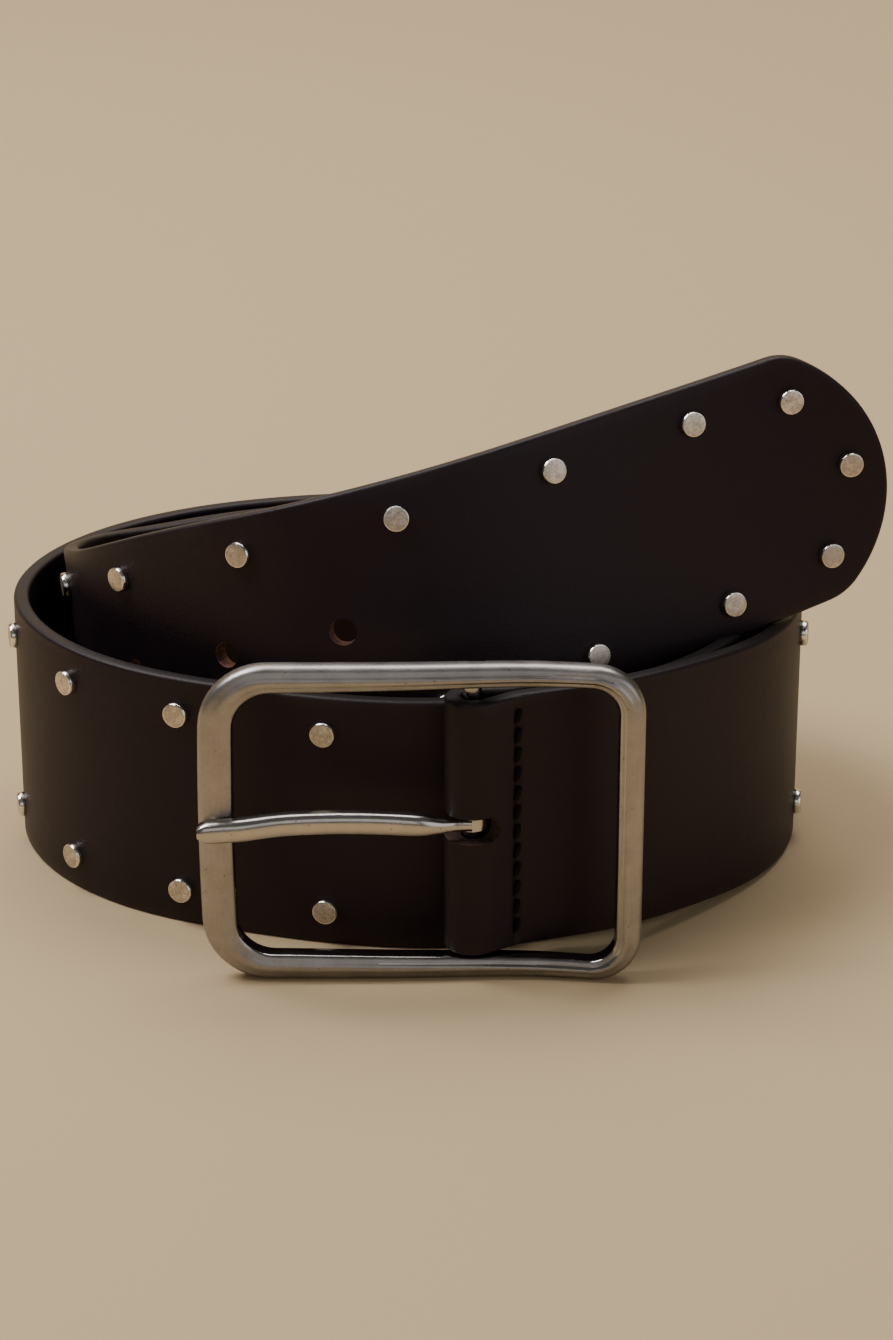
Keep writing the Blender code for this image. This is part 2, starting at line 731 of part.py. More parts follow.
def eye_mesh():
    """The ring of the prong that turns on the centre bar."""
    inner = BAR_DIAMETER / 2 + FIT_GAP
    outer = inner + EYE_WALL
    half = NECK_HEIGHT / 2
    shape = bmesh.new()
    rings = []
    for k in range(EYE_SIDES):
        angle = 2.0 * math.pi * (k + 0.5) / EYE_SIDES
        x, y = math.cos(angle), math.sin(angle)
        corners = [(outer, -half), (outer, half), (inner, half), (inner, -half)]
        rings.append([shape.verts.new((x * r, y * r, z)) for r, z in corners])
    for k in range(EYE_SIDES):
        ring = rings[k]
        following = rings[(k + 1) % EYE_SIDES]
        for i in range(4):
            j = (i + 1) % 4
            shape.faces.new((ring[i], ring[j], following[j], following[i]))
    bmesh.ops.recalc_face_normals(shape, faces=shape.faces)
    mesh = bpy.data.meshes.new("eye")
    shape.to_mesh(mesh)
    shape.free()
    return mesh


def prong_mesh():
    """The prong with its eye, the bar's room cut clear."""
    joined = combine(eye_mesh(), prong_body_mesh(), "UNION")
    shape = bmesh.new()
    bmesh.ops.create_cone(
        shape, cap_ends=True, segments=EYE_SIDES, radius1=BAR_DIAMETER / 2 + FIT_GAP,
        radius2=BAR_DIAMETER / 2 + FIT_GAP, depth=PRONG_HEIGHT * 2,
        matrix=Matrix.Rotation(math.pi / EYE_SIDES, 4, "Z"),
    )
    room = bpy.data.meshes.new("bar_room")
    shape.to_mesh(room)
    shape.free()
    return combine(joined, room, "DIFFERENCE")


def stand_on_origin(stand, items):
    """Move the stand so that the belt's box has its bottom centre at the world's origin."""
    bpy.context.view_layer.update()
    corners = [item.matrix_world @ vert.co for item in items for vert in item.data.vertices]
    low = [min(point[k] for point in corners) for k in range(3)]
    high = [max(point[k] for point in corners) for k in range(3)]
    stand.location = (-(low[0] + high[0]) / 2, -(low[1] + high[1]) / 2, -low[2])
    bpy.context.view_layer.update()


def main():
    """Build the belt."""
    clear_scene()
    leather = principled("leather", (0.016, 0.011, 0.009), 0.42, 0.0)
    frame_metal = principled("frame_nickel", (0.42, 0.39, 0.35), 0.32, 1.0)
    prong_metal = principled("prong_nickel", (0.45, 0.42, 0.38), 0.26, 1.0)
    stud_metal = principled("stud_nickel", (0.48, 0.45, 0.41), 0.30, 1.0)
    route = Route()
    stand = bpy.data.objects.new("belt", None)
    bpy.context.scene.collection.objects.link(stand)
    items = [add_object("strap", strap_mesh(route), leather)]
    bar = Vector((route.bar[0], route.bar[1], 0.0))

    frame = add_object(
        "buckle_frame", combine(frame_ring_mesh(), bar_mesh(), "UNION"), frame_metal
    )
    frame.location = bar
    prong = add_object("prong", prong_mesh(), prong_metal)
    prong.location = bar + Vector((0.0, 0.0, EYE_LEVEL))
    items.extend([frame, prong])

    for name, length, height in stud_places():
        stud = add_object(name, stud_mesh(), stud_metal)
        stud.matrix_world = route.seat(length, height)
        items.append(stud)
    for item in items:
        item.parent = stand
    stand_on_origin(stand, items)


main()
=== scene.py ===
# %% [markdown]
# # A studded leather belt, coiled on its edge
# A wide belt stands on its long edge, wound a little over twice round an open loop. Its
# centre-bar buckle is open at the front, and two rows of flat nickel studs run along it. The
# CAD model gives every place, so each finer piece here is laid over the CAD piece
# that it dresses.

# %% Load the frame
import json
import math

import bmesh
import bpy
import numpy as np
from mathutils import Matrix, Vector


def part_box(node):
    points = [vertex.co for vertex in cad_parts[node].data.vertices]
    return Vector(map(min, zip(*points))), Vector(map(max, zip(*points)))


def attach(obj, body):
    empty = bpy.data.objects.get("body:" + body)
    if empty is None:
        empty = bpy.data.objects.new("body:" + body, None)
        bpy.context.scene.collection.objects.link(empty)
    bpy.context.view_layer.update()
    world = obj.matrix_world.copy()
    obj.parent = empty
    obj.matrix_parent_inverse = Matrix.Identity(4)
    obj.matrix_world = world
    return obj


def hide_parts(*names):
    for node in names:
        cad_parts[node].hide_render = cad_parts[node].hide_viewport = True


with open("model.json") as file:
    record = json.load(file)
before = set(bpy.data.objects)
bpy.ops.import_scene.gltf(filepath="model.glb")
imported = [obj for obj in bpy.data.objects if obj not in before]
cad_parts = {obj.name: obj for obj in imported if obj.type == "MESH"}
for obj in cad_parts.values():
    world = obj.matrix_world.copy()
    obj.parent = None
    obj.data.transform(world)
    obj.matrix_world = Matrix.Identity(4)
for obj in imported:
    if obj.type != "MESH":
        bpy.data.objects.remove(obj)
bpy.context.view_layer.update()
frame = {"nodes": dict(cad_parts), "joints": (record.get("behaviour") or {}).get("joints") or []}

joint = next(j for j in frame["joints"] if j["name"] == "buckle_hinge")
bar_place = Vector((joint["pos_m"][0], joint["pos_m"][1], 0.0))

# %% [markdown]
# ## The sizes
# A real belt is drawn as a flat strap first, and its loop comes later, when it is wound. The
# sizes below describe the flat strap, and the tables say where it runs, seen from above, as
# shares of the loop's half width and half depth. They are the sizes of the CAD model.

# %% The strap, its studs and holes
STRAP_WIDTH = 0.050
STRAP_THICKNESS = 0.003
BELT_LENGTH = 0.8824
TIP_RADIUS = 0.029
TIP_CORNER_RADIUS = 0.0100
FIT_GAP = 0.0003
STUD_HEIGHT = 0.0014
STUD_RADIUS = 0.0025
SEAT_GAP = 0.0005
STUD_FROM_EDGE = 0.007
FIRST_PAIR_FROM_TIP = 0.0363
TIP_STUD_FROM_TIP = 0.007
TIP_PAIR_FROM_TIP = 0.0153
TIP_PAIR_FROM_EDGE = 0.009
HOLE_RADIUS = 0.0025
FIRST_HOLE_FROM_TIP = 0.1108
HOLE_PITCH = 0.0245
HOLE_COUNT = 5

# How many pairs of studs follow the first, and how far each is from the one before it
STUD_STRETCHES = [(15, 0.0300), (1, 0.0285), (2, 0.0257), (7, 0.0314)]
HALF = STRAP_WIDTH / 2
DEEP = STRAP_THICKNESS / 2
HOLES = [BELT_LENGTH - FIRST_HOLE_FROM_TIP - k * HOLE_PITCH for k in range(HOLE_COUNT)]
print("holes, from the bar:", [round(length, 4) for length in HOLES])

# %% The loop and the fold
LOOP_HALF = np.array([0.0769, 0.0560])
TURN_CLEARANCE = 0.0010
TURN_STEP = STRAP_THICKNESS + STUD_HEIGHT + SEAT_GAP + TURN_CLEARANCE
PINCH_LENGTH = 0.0088
FLAP_LENGTH = 0.016
SLOT_RADIUS = 0.0025
SLOT_PAST_ROLL = 0.0036
BAR_RADIUS = 0.0017
LONG_BAR_LEFT = 0.0052
LONG_BAR_RIGHT = 0.0040
BUCKLE_LIFT = (LONG_BAR_LEFT + LONG_BAR_RIGHT) / 2 + FIT_GAP
LIFT_RUN = 0.080
ROLL_RADIUS = BAR_RADIUS + FIT_GAP + DEEP
SLOT_REACH = math.pi / 2 * ROLL_RADIUS + SLOT_PAST_ROLL
ROUTE_SAMPLES = 1800
PINCH_SAMPLES = 24
ROLL_SAMPLES = 48
print("turn step:", TURN_STEP, "roll radius:", ROLL_RADIUS)

# %% The tables of the route
# x share and y share
LEAVING_THE_FOLD = [(0.274, -1.145), (0.461, -1.039)]

# x share, y share, then how many turn steps inside it the second turn lies
FIRST_TURN = [
    (0.690, -0.791, 1.00), (0.894, -0.458, 1.03), (0.990, -0.084, 1.02),
    (0.962, 0.295, 1.05), (0.811, 0.621, 1.05), (0.567, 0.842, 1.04),
    (0.276, 0.955, 1.02), (-0.029, 0.983, 1.00), (-0.325, 0.940, 0.98),
    (-0.588, 0.822, 1.00), (-0.772, 0.658, None), (-0.939, 0.373, None),
    (-1.004, -0.010, None), (-0.911, -0.402, None), (-0.687, -0.712, None),
    (-0.370, -0.902, None), (-0.012, -1.006, None),
]

# place, x share, y share, climb as a share of the strap's width, top edge's lean in turn steps
TAIL = [
    ("back left corner", -0.745, 0.538, 0.016, 0.060),
    ("left bend, back", -0.850, 0.230, 0.076, 0.420),
    ("left bend, front", -0.798, -0.176, 0.203, 0.100),
    ("front left", -0.554, -0.552, 0.441, -0.150),
    ("above the buckle's left end", -0.244, -0.792, 0.640, -0.580),
    ("above the centre bar", 0.114, -0.799, 0.788, -0.936),
    ("right of the buckle", 0.510, -0.555, 0.899, -0.920),
    ("outside the rims", 0.937, -0.278, 1.034, -0.427),
    ("past the tip", 1.356, -0.128, 1.240, 0.384),
]

# %% [markdown]
# ## The route
# The strap's middle line could be drawn by hand as one long curve. A smooth spline through a
# short table is easier to keep right: the second turn is the first one moved inward by one
# turn step, and only the tail has its own climb and lean. The fold at the buckle is a half
# circle round the centre bar with two straight stretches that close on each other.

# %% A smooth curve through a table
def unit(vectors):
    return vectors / np.linalg.norm(vectors, axis=-1, keepdims=True)


def smoothstep(value):
    share = np.clip(value, 0.0, 1.0)
    return share * share * (3.0 - 2.0 * share)


def right_hand(directions):
    return unit(np.stack([directions[:, 1], -directions[:, 0]], axis=1))


def open_curve(rows, count, plane=2):
    """Points of a smooth spline through the rows, spaced by the columns of their plane."""
    spans = np.linalg.norm(np.diff(rows[:, :plane], axis=0), axis=1)
    knots = np.concatenate(([0.0], np.cumsum(spans)))
    slopes = np.diff(rows, axis=0) / spans[:, None]
    size = len(rows)
    system = np.eye(size)
    pulls = np.zeros_like(rows)
    for k in range(1, size - 1):
        system[k, k - 1] = spans[k - 1]
        system[k, k] = 2.0 * (spans[k - 1] + spans[k])
        system[k, k + 1] = spans[k]
        pulls[k] = 6.0 * (slopes[k] - slopes[k - 1])
    bends = np.linalg.solve(system, pulls)
    places = np.linspace(0.0, knots[-1], count)
    k = np.clip(np.searchsorted(knots, places, side="right") - 1, 0, size - 2)
    span = spans[k][:, None]
    past = (places - knots[k])[:, None]
    left = span - past
    return (
        (bends[k] * left**3 + bends[k + 1] * past**3) / (6.0 * span)
        + (rows[k] / span - bends[k] * span / 6.0) * left
        + (rows[k + 1] / span - bends[k + 1] * span / 6.0) * past
    )


# %% The turns and the tail as one table
outline = np.array([row[:2] for row in FIRST_TURN]) * LOOP_HALF
outward = right_hand(np.roll(outline, -1, axis=0) - np.roll(outline, 1, axis=0))
rows = [(x * LOOP_HALF[0], y * LOOP_HALF[1], 0.0, 0.0) for x, y in LEAVING_THE_FOLD]
rows += [(x, y, 0.0, 0.0) for x, y in outline]
for point, side, (*_, steps_inside) in zip(outline, outward, FIRST_TURN):
    if steps_inside is not None:
        inner = point - side * steps_inside * TURN_STEP
        rows.append((inner[0], inner[1], 0.0, 0.0))
for _, x, y, climb, lean in TAIL:
    turned = math.asin(lean * TURN_STEP / HALF)
    rows.append((x * LOOP_HALF[0], y * LOOP_HALF[1], climb * STRAP_WIDTH, turned))
face_line = open_curve(np.array(rows), ROUTE_SAMPLES)
print("rows in the route:", len(rows))

# %% The fold, and the whole middle line
facing = right_hand(np.gradient(face_line[:, :2], axis=0))
turns = face_line[:, :2] - facing * DEEP
gone = np.concatenate(([0.0], np.cumsum(np.linalg.norm(np.diff(turns, axis=0), axis=1))))
lift = BUCKLE_LIFT * (1.0 - smoothstep(gone / LIFT_RUN))
turn_heights = HALF + lift + np.maximum(face_line[:, 2], 0.0)

ahead = unit(turns[1] - turns[0])
inward = np.array([-ahead[1], ahead[0]])
half_pair = (STRAP_THICKNESS + FIT_GAP) / 2
bar = turns[0] + inward * half_pair - ahead * PINCH_LENGTH
distances = np.linspace(0.0, PINCH_LENGTH, PINCH_SAMPLES)
offsets = ROLL_RADIUS + (half_pair - ROLL_RADIUS) * smoothstep(distances / PINCH_LENGTH)
straight = bar + distances[:, None] * ahead
near_side = straight - offsets[:, None] * inward
far_side = straight + offsets[:, None] * inward
spacing = np.linalg.norm(turns[1] - turns[0])
flap_count = max(int((FLAP_LENGTH - PINCH_LENGTH) / spacing), 2)
flap = turns[1:flap_count] - right_hand(np.gradient(turns, axis=0))[1:flap_count] * 2.0 * half_pair
angles = math.atan2(inward[1], inward[0]) + np.linspace(0.0, math.pi, ROLL_SAMPLES)[1:-1]
roll = bar + ROLL_RADIUS * np.stack([np.cos(angles), np.sin(angles)], axis=1)
before_roll = np.concatenate([flap[::-1], far_side[::-1]])
plan = np.concatenate([before_roll, roll, near_side[:-1], turns])
apex = len(before_roll) + len(roll) // 2
fold_count = len(plan) - len(turns)
heights = np.concatenate([np.full(fold_count, turn_heights[0]), turn_heights])
leans = np.concatenate([np.full(fold_count, face_line[0, 3]), face_line[:, 3]])
loop_centre = Vector((bar_place.x - bar[0], bar_place.y - bar[1], 0.0))
middle_line = np.column_stack([plan, heights]) + np.array(loop_centre)

# %% Lengths along it, and places on the strap
steps = np.linalg.norm(np.diff(middle_line, axis=0), axis=1)
lengths = np.concatenate(([0.0], np.cumsum(steps)))
lengths -= lengths[apex]
tangents = unit(np.gradient(middle_line, lengths, axis=0))


def read(values, along):
    return np.stack([np.interp(along, lengths, values[:, k]) for k in range(3)], axis=-1)


def lay(points):
    """Places in the scene of points given along, across and out of the strap."""
    points = np.atleast_2d(points)
    along = unit(read(tangents, points[:, 0]))
    out = unit(np.stack([along[:, 1], -along[:, 0], np.zeros(len(along))], axis=1))
    across = np.cross(out, along)
    lean = np.interp(points[:, 0], lengths, leans)[:, None]
    leaned = across * np.cos(lean) + out * np.sin(lean)
    normal = out * np.cos(lean) - across * np.sin(lean)
    middle = read(middle_line, points[:, 0])
    return middle + leaned * points[:, 1:2] + normal * points[:, 2:3]


def seat(length, height, depth):
    """The place on the strap, and the directions along it and out of it there."""
    before, after, low, high, place = lay(np.array([
        (length - DEEP, height, 0.0), (length + DEEP, height, 0.0),
        (length, height - DEEP, 0.0), (length, height + DEEP, 0.0), (length, height, 0.0),
    ]))
    along = unit(after - before)
    normal = unit(np.cross(along, high - low))
    return place + normal * depth, along, normal


print("from the bar to the tip:", BELT_LENGTH, "m of", round(float(lengths[-1]), 4))

# %% [markdown]
# ## The strap
# Thick leather is cut flat, its edges are rounded and painted, and holes are punched in it
# before it is wound up. The mesh is made the same way: a flat strap with rounded edges, its
# holes and the slot for the prong cut by a Boolean, then every point laid along the route.
# The flat place of each point is kept as an attribute, so that the finish can follow the
# strap round its bends.

# %% The strap's outline from the flap to the tip
EDGE_ROUND = 0.0008
STITCH_LINE = 0.0130
STATION_LENGTH = 0.0022
STATION_TURN = math.radians(5.0)
LEAST_STATION_STEP = 0.0003
FLAP_TRIES = 400
FLAP_END_MARGIN = 0.0005
ROLL_MARGIN = 1.6
TIP_CORNER_STEPS = 9
TIP_ARC_STEPS = 30
TIP_LAST_ANGLE = math.radians(0.15)

# The groove that the stitches press
GROOVE_DEPTH = 0.00060
GROOVE_WIDTH = 0.00080
GROOVE_HALF = 0.0020
GROOVE_STATIONS = 11
GROOVE_FADE = 0.0012
STITCH_END = HALF - 0.0016


def close_stations(last):
    """Lengths at which the strap is cut across, closer where it bends or is stitched."""
    inside = lengths <= last
    turning = np.linalg.norm(np.diff(tangents[inside], axis=0), axis=1)
    effort = np.diff(lengths[inside]) / STATION_LENGTH + turning / STATION_TURN
    total = np.concatenate(([0.0], np.cumsum(effort)))
    even = np.linspace(0.0, total[-1], int(math.ceil(total[-1])) + 1)
    found = np.interp(even, total, lengths[inside])
    pressed = np.linspace(-GROOVE_HALF, GROOVE_HALF, GROOVE_STATIONS)
    extra = np.concatenate([STITCH_LINE + pressed, FLAP_STITCH_LINE + pressed])
    kept = [x for x in found if np.min(np.abs(x - extra)) > LEAST_STATION_STEP]
    return sorted([*kept, *extra])


def flap_length_beside(length):
    """The length on the flap that lies against the given length past the bar."""
    goal = lay([(length, 0.0, -DEEP)])[0]
    options = np.linspace(lengths[0] + FLAP_END_MARGIN, -ROLL_RADIUS * ROLL_MARGIN, FLAP_TRIES)
    points = lay(np.stack([options, options * 0.0, options * 0.0 - DEEP], axis=1))
    return float(options[np.argmin(np.linalg.norm(points - goal, axis=1))])


FLAP_STITCH_LINE = flap_length_beside(STITCH_LINE)
print("flap's stitch line:", round(FLAP_STITCH_LINE, 4))


def strap_outline():
    """Length, half width and outward direction along the strap's upper edge."""
    corner_height = HALF - TIP_CORNER_RADIUS
    reach = math.sqrt((TIP_RADIUS - TIP_CORNER_RADIUS) ** 2 - corner_height**2)
    meeting = math.atan2(corner_height, reach)
    centre = BELT_LENGTH - TIP_RADIUS
    rows = [(x, HALF, 0.0, 1.0) for x in close_stations(centre + reach)[:-1]]
    for angle in np.linspace(math.pi / 2, meeting, TIP_CORNER_STEPS)[:-1]:
        x = centre + reach + TIP_CORNER_RADIUS * math.cos(angle)
        y = corner_height + TIP_CORNER_RADIUS * math.sin(angle)
        rows.append((x, y, math.cos(angle), math.sin(angle)))
    for angle in np.linspace(meeting, TIP_LAST_ANGLE, TIP_ARC_STEPS):
        x = centre + TIP_RADIUS * math.cos(angle)
        rows.append((x, TIP_RADIUS * math.sin(angle), math.cos(angle), math.sin(angle)))
    return rows


# %% The strap's section
ACROSS = np.linspace(1.0, -1.0, 15)
ARC = np.radians([60.0, 30.0, 0.0])


def section(length, half, n_along, n_across):
    """One closed ring of points round the strap's section."""
    face = [(length - EDGE_ROUND * n_along, q * (half - EDGE_ROUND * n_across), DEEP)
            for q in ACROSS]
    edge = []
    for angle in ARC:
        inset = EDGE_ROUND * (1.0 - math.cos(angle))
        edge.append((length - inset * n_along, half - inset * n_across,
                     DEEP - EDGE_ROUND * (1.0 - math.sin(angle))))
    lower = [(x, -y, z) for x, y, z in edge]
    lower += [(x, y, -z) for x, y, z in reversed(lower)]
    back = [(x, y, -z) for x, y, z in reversed(face)]
    upper = [(x, -y, z) for x, y, z in reversed(lower)]
    return face + lower + back + upper


# %% Skins over rings of points
def mesh_of(shape, name):
    mesh = bpy.data.meshes.new(name)
    shape.to_mesh(mesh)
    shape.free()
    return mesh


def bridge(shape, rings, closed=False):
    """Faces from each ring to the next, and from the last to the first if it is closed."""
    for ring, following in zip(rings, rings[1:] + (rings[:1] if closed else [])):
        for k in range(len(ring)):
            j = (k + 1) % len(ring)
            shape.faces.new((ring[k], ring[j], following[j], following[k]))


def tube(rings, name):
    """A mesh over rings of points, closed at both ends."""
    shape = bmesh.new()
    rings = [[shape.verts.new(p) for p in ring] for ring in rings]
    bridge(shape, rings)
    shape.faces.new(rings[0])
    shape.faces.new(rings[-1])
    bmesh.ops.recalc_face_normals(shape, faces=shape.faces)
    return mesh_of(shape, name)


# %% The punches, and the Boolean that uses them
ROUND_SIDES = 40
SLOT_END_STEPS = 17
SLOT_SIDE_STEPS = 18


def add_prism(shape, points, low, high):
    bottom = [shape.verts.new((x, y, low)) for x, y in points]
    top = [shape.verts.new((x, y, high)) for x, y in points]
    for k in range(len(points)):
        j = (k + 1) % len(points)
        shape.faces.new((bottom[k], bottom[j], top[j], top[k]))
    shape.faces.new(reversed(bottom))
    shape.faces.new(top)


def round_points(x, y, radius, sides):
    angles = np.linspace(0.0, 2.0 * math.pi, sides, endpoint=False)
    return [(x + radius * math.cos(a), y + radius * math.sin(a)) for a in angles]


def slot_points():
    angles = np.linspace(-math.pi / 2, math.pi / 2, SLOT_END_STEPS)
    right = [(SLOT_REACH - SLOT_RADIUS + SLOT_RADIUS * math.cos(a), SLOT_RADIUS * math.sin(a))
             for a in angles]
    left = [(-x, -y) for x, y in right]
    between = np.linspace(right[-1][0], left[0][0], SLOT_SIDE_STEPS)[1:-1]
    top = [(x, SLOT_RADIUS) for x in between]
    return right + top + left + [(-x, -SLOT_RADIUS) for x, _ in top]


def combined(base, other, operation):
    """The base mesh with the other one joined to it or cut from it."""
    pair = [bpy.data.objects.new("combine", mesh) for mesh in (base, other)]
    for item in pair:
        bpy.context.scene.collection.objects.link(item)
    step = pair[0].modifiers.new("combine", "BOOLEAN")
    step.operation = operation
    step.solver = "EXACT"
    step.object = pair[1]
    graph = bpy.context.evaluated_depsgraph_get()
    mesh = bpy.data.meshes.new_from_object(pair[0].evaluated_get(graph), depsgraph=graph)
    for item in pair:
        bpy.data.objects.remove(item, do_unlink=True)
    return mesh


punches = bmesh.new()
add_prism(punches, slot_points(), -2 * DEEP, 2 * DEEP)
for length in HOLES:
    add_prism(punches, round_points(length, 0.0, HOLE_RADIUS, ROUND_SIDES), -2 * DEEP, 2 * DEEP)
flat_strap = tube([section(*row) for row in strap_outline()], "flat")
strap_mesh = combined(flat_strap, mesh_of(punches, "punches"), "DIFFERENCE")
print("strap faces:", len(strap_mesh.polygons))

# %% Press the stitch grooves, then wind the strap
flat = np.empty(len(strap_mesh.vertices) * 3)
strap_mesh.vertices.foreach_get("co", flat)
flat = flat.reshape(-1, 3)
CUT_MARGIN = 0.00005
SLOT_END_MARGIN = 0.0002
cut_walls = []
for face in strap_mesh.polygons:
    x, y, _ = face.center
    in_hole = any(math.hypot(x - length, y) < HOLE_RADIUS + CUT_MARGIN for length in HOLES)
    slot_walls_painted_shade = abs(x) < SLOT_REACH + SLOT_END_MARGIN and abs(y) < SLOT_RADIUS + CUT_MARGIN
    cut_walls.append(1 if abs(face.normal.z) < 0.5 and (in_hole or slot_walls_painted_shade) else 0)


def pressed_depth(points):
    """How deep the leather is pressed under the stitches, on the side that shows."""
    deep = np.zeros(len(points))
    within = 1.0 - smoothstep((np.abs(points[:, 1]) - STITCH_END) / GROOVE_FADE)
    for line in (STITCH_LINE, FLAP_STITCH_LINE):
        near = np.exp(-((points[:, 0] - line) / GROOVE_WIDTH) ** 2)
        deep += GROOVE_DEPTH * near * within * (points[:, 2] > DEEP * 0.5)
    return deep


wound = flat.copy()
wound[:, 2] -= pressed_depth(flat)
strap_mesh.vertices.foreach_set("co", lay(wound).ravel())
kept_flat = strap_mesh.attributes.new("flat", "FLOAT_VECTOR", "POINT")
kept_flat.data.foreach_set("vector", flat.ravel())
strap_mesh.update()


SMOOTH_ANGLE = math.radians(35.0)


def piece(name, mesh):
    mesh.shade_smooth()
    mesh.set_sharp_from_angle(angle=SMOOTH_ANGLE)
    item = bpy.data.objects.new(name, mesh)
    bpy.context.scene.collection.objects.link(item)
    return item


strap = piece("strap_leather", strap_mesh)
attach(strap, "strap")
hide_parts("strap")
print("faces on the cut walls:", sum(cut_walls))

# %% [markdown]
# ## Studs and stitches
# Studs and stitches are one small shape set down again and again. One Geometry Nodes tree
# serves both: it takes points that carry the directions along and out of the leather, turns
# a copy of the shape to match, gives each one its own small tilt, spin and tone from a fixed
# seed, and makes the result real geometry.

# %% The tree that sets shapes on the leather
SOCKETS = [
    ("Geometry", "NodeSocketGeometry"), ("Shape", "NodeSocketObject"),
    ("Tilt", "NodeSocketFloat"), ("Spin", "NodeSocketFloat"),
    ("Size Spread", "NodeSocketFloat"), ("Seed", "NodeSocketInt"),
    ("Material", "NodeSocketMaterial"),
]


def setting_tree():
    tree = bpy.data.node_groups.new("set_on_leather", "GeometryNodeTree")
    for name, kind in SOCKETS:
        tree.interface.new_socket(name, in_out="INPUT", socket_type=kind)
    tree.interface.new_socket("Geometry", in_out="OUTPUT", socket_type="NodeSocketGeometry")
    given = tree.nodes.new("NodeGroupInput").outputs
    vector = {"data_type": "FLOAT_VECTOR"}

    def node(kind, settings, inputs):
        """The outputs of a new node with these settings and inputs."""
        made = tree.nodes.new(kind)
        for name, value in settings.items():
            setattr(made, name, value)
        for key, value in inputs.items():
            if isinstance(value, bpy.types.NodeSocket):
                tree.links.new(value, made.inputs[key])
            else:
                made.inputs[key].default_value = value
        return made.outputs

    along = node("GeometryNodeInputNamedAttribute", vector, {"Name": "along"})
    normal = node("GeometryNodeInputNamedAttribute", vector, {"Name": "normal_out"})
    upright = node("FunctionNodeAlignRotationToVector", {"axis": "Z"}, {"Vector": normal[0]})
    turned = node("FunctionNodeAlignRotationToVector", {"axis": "X", "pivot_axis": "Z"},
                  {"Rotation": upright[0], "Vector": along[0]})
    most = node("ShaderNodeCombineXYZ", {},
                {"X": given["Tilt"], "Y": given["Tilt"], "Z": given["Spin"]})
    least = node("ShaderNodeVectorMath", {"operation": "SCALE"}, {0: most[0], "Scale": -1.0})
    random_turn = node("FunctionNodeRandomValue", vector,
                       {0: least[0], 1: most[0], "Seed": given["Seed"]})
    as_turn = node("FunctionNodeEulerToRotation", {}, {0: random_turn[0]})
    loose = node("FunctionNodeRotateRotation", {"rotation_space": "LOCAL"},
                 {0: turned[0], 1: as_turn[0]})
    smallest = node("ShaderNodeMath", {"operation": "SUBTRACT"}, {0: 1.0, 1: given["Size Spread"]})
    size = node("FunctionNodeRandomValue", {"data_type": "FLOAT"},
                {2: smallest[0], 3: 1.0, "Seed": given["Seed"]})
    shape = node("GeometryNodeObjectInfo", {}, {"Object": given["Shape"]})
    set_down = node("GeometryNodeInstanceOnPoints", {}, {
        "Points": given["Geometry"], "Instance": shape["Geometry"],
        "Rotation": loose[0], "Scale": size[1],
    })
    tone = node("FunctionNodeRandomValue", {"data_type": "FLOAT"},
                {2: 0.0, 3: 1.0, "Seed": given["Seed"]})
    toned = node("GeometryNodeStoreNamedAttribute", {"data_type": "FLOAT", "domain": "INSTANCE"},
                 {"Geometry": set_down[0], "Name": "tone", "Value": tone[1]})
    real = node("GeometryNodeRealizeInstances", {}, {0: toned[0]})
    finished = node("GeometryNodeSetMaterial", {},
                    {"Geometry": real[0], "Material": given["Material"]})
    out = tree.nodes.new("NodeGroupOutput")
    tree.links.new(finished[0], out.inputs[0])
    return tree


tree = setting_tree()
print("nodes in the tree:", len(tree.nodes))


# %% Points on the leather, and a plain mesh made from them
def set_shapes(name, shape, places, values):
    """A mesh of the shape set down on each place: length, height and depth on the strap."""
    seats = [seat(*place) for place in places]
    points = bpy.data.meshes.new(name + "_points")
    points.from_pydata([tuple(s[0]) for s in seats], [], [])
    for label, index in (("along", 1), ("normal_out", 2)):
        data = points.attributes.new(label, "FLOAT_VECTOR", "POINT")
        data.data.foreach_set("vector", np.array([s[index] for s in seats]).ravel())
    source = bpy.data.objects.new(name + "_shape", shape)
    holder = bpy.data.objects.new(name + "_points", points)
    for item in (source, holder):
        bpy.context.scene.collection.objects.link(item)
    step = holder.modifiers.new("set", "NODES")
    step.node_group = tree
    ids = {s.name: s.identifier for s in tree.interface.items_tree if s.in_out == "INPUT"}
    for label, value in {"Shape": source, **values}.items():
        step[ids[label]] = value
    graph = bpy.context.evaluated_depsgraph_get()
    mesh = bpy.data.meshes.new_from_object(holder.evaluated_get(graph), depsgraph=graph)
    for item in (source, holder):
        bpy.data.objects.remove(item, do_unlink=True)
    mesh.name = name
    return mesh


# %% [markdown]
# ## The finishes
# Shader maths is long to write with bare nodes, so one small class lets a socket be used in
# Python sums, and one method makes every other node. Patterns on the strap read its flat
# place, so grain and creases run along the leather and turn with it.

# %% Sums on sockets
def opaque(value):
    """A colour with its alpha, and anything else as it is."""
    return (*value, 1.0) if isinstance(value, tuple) else value


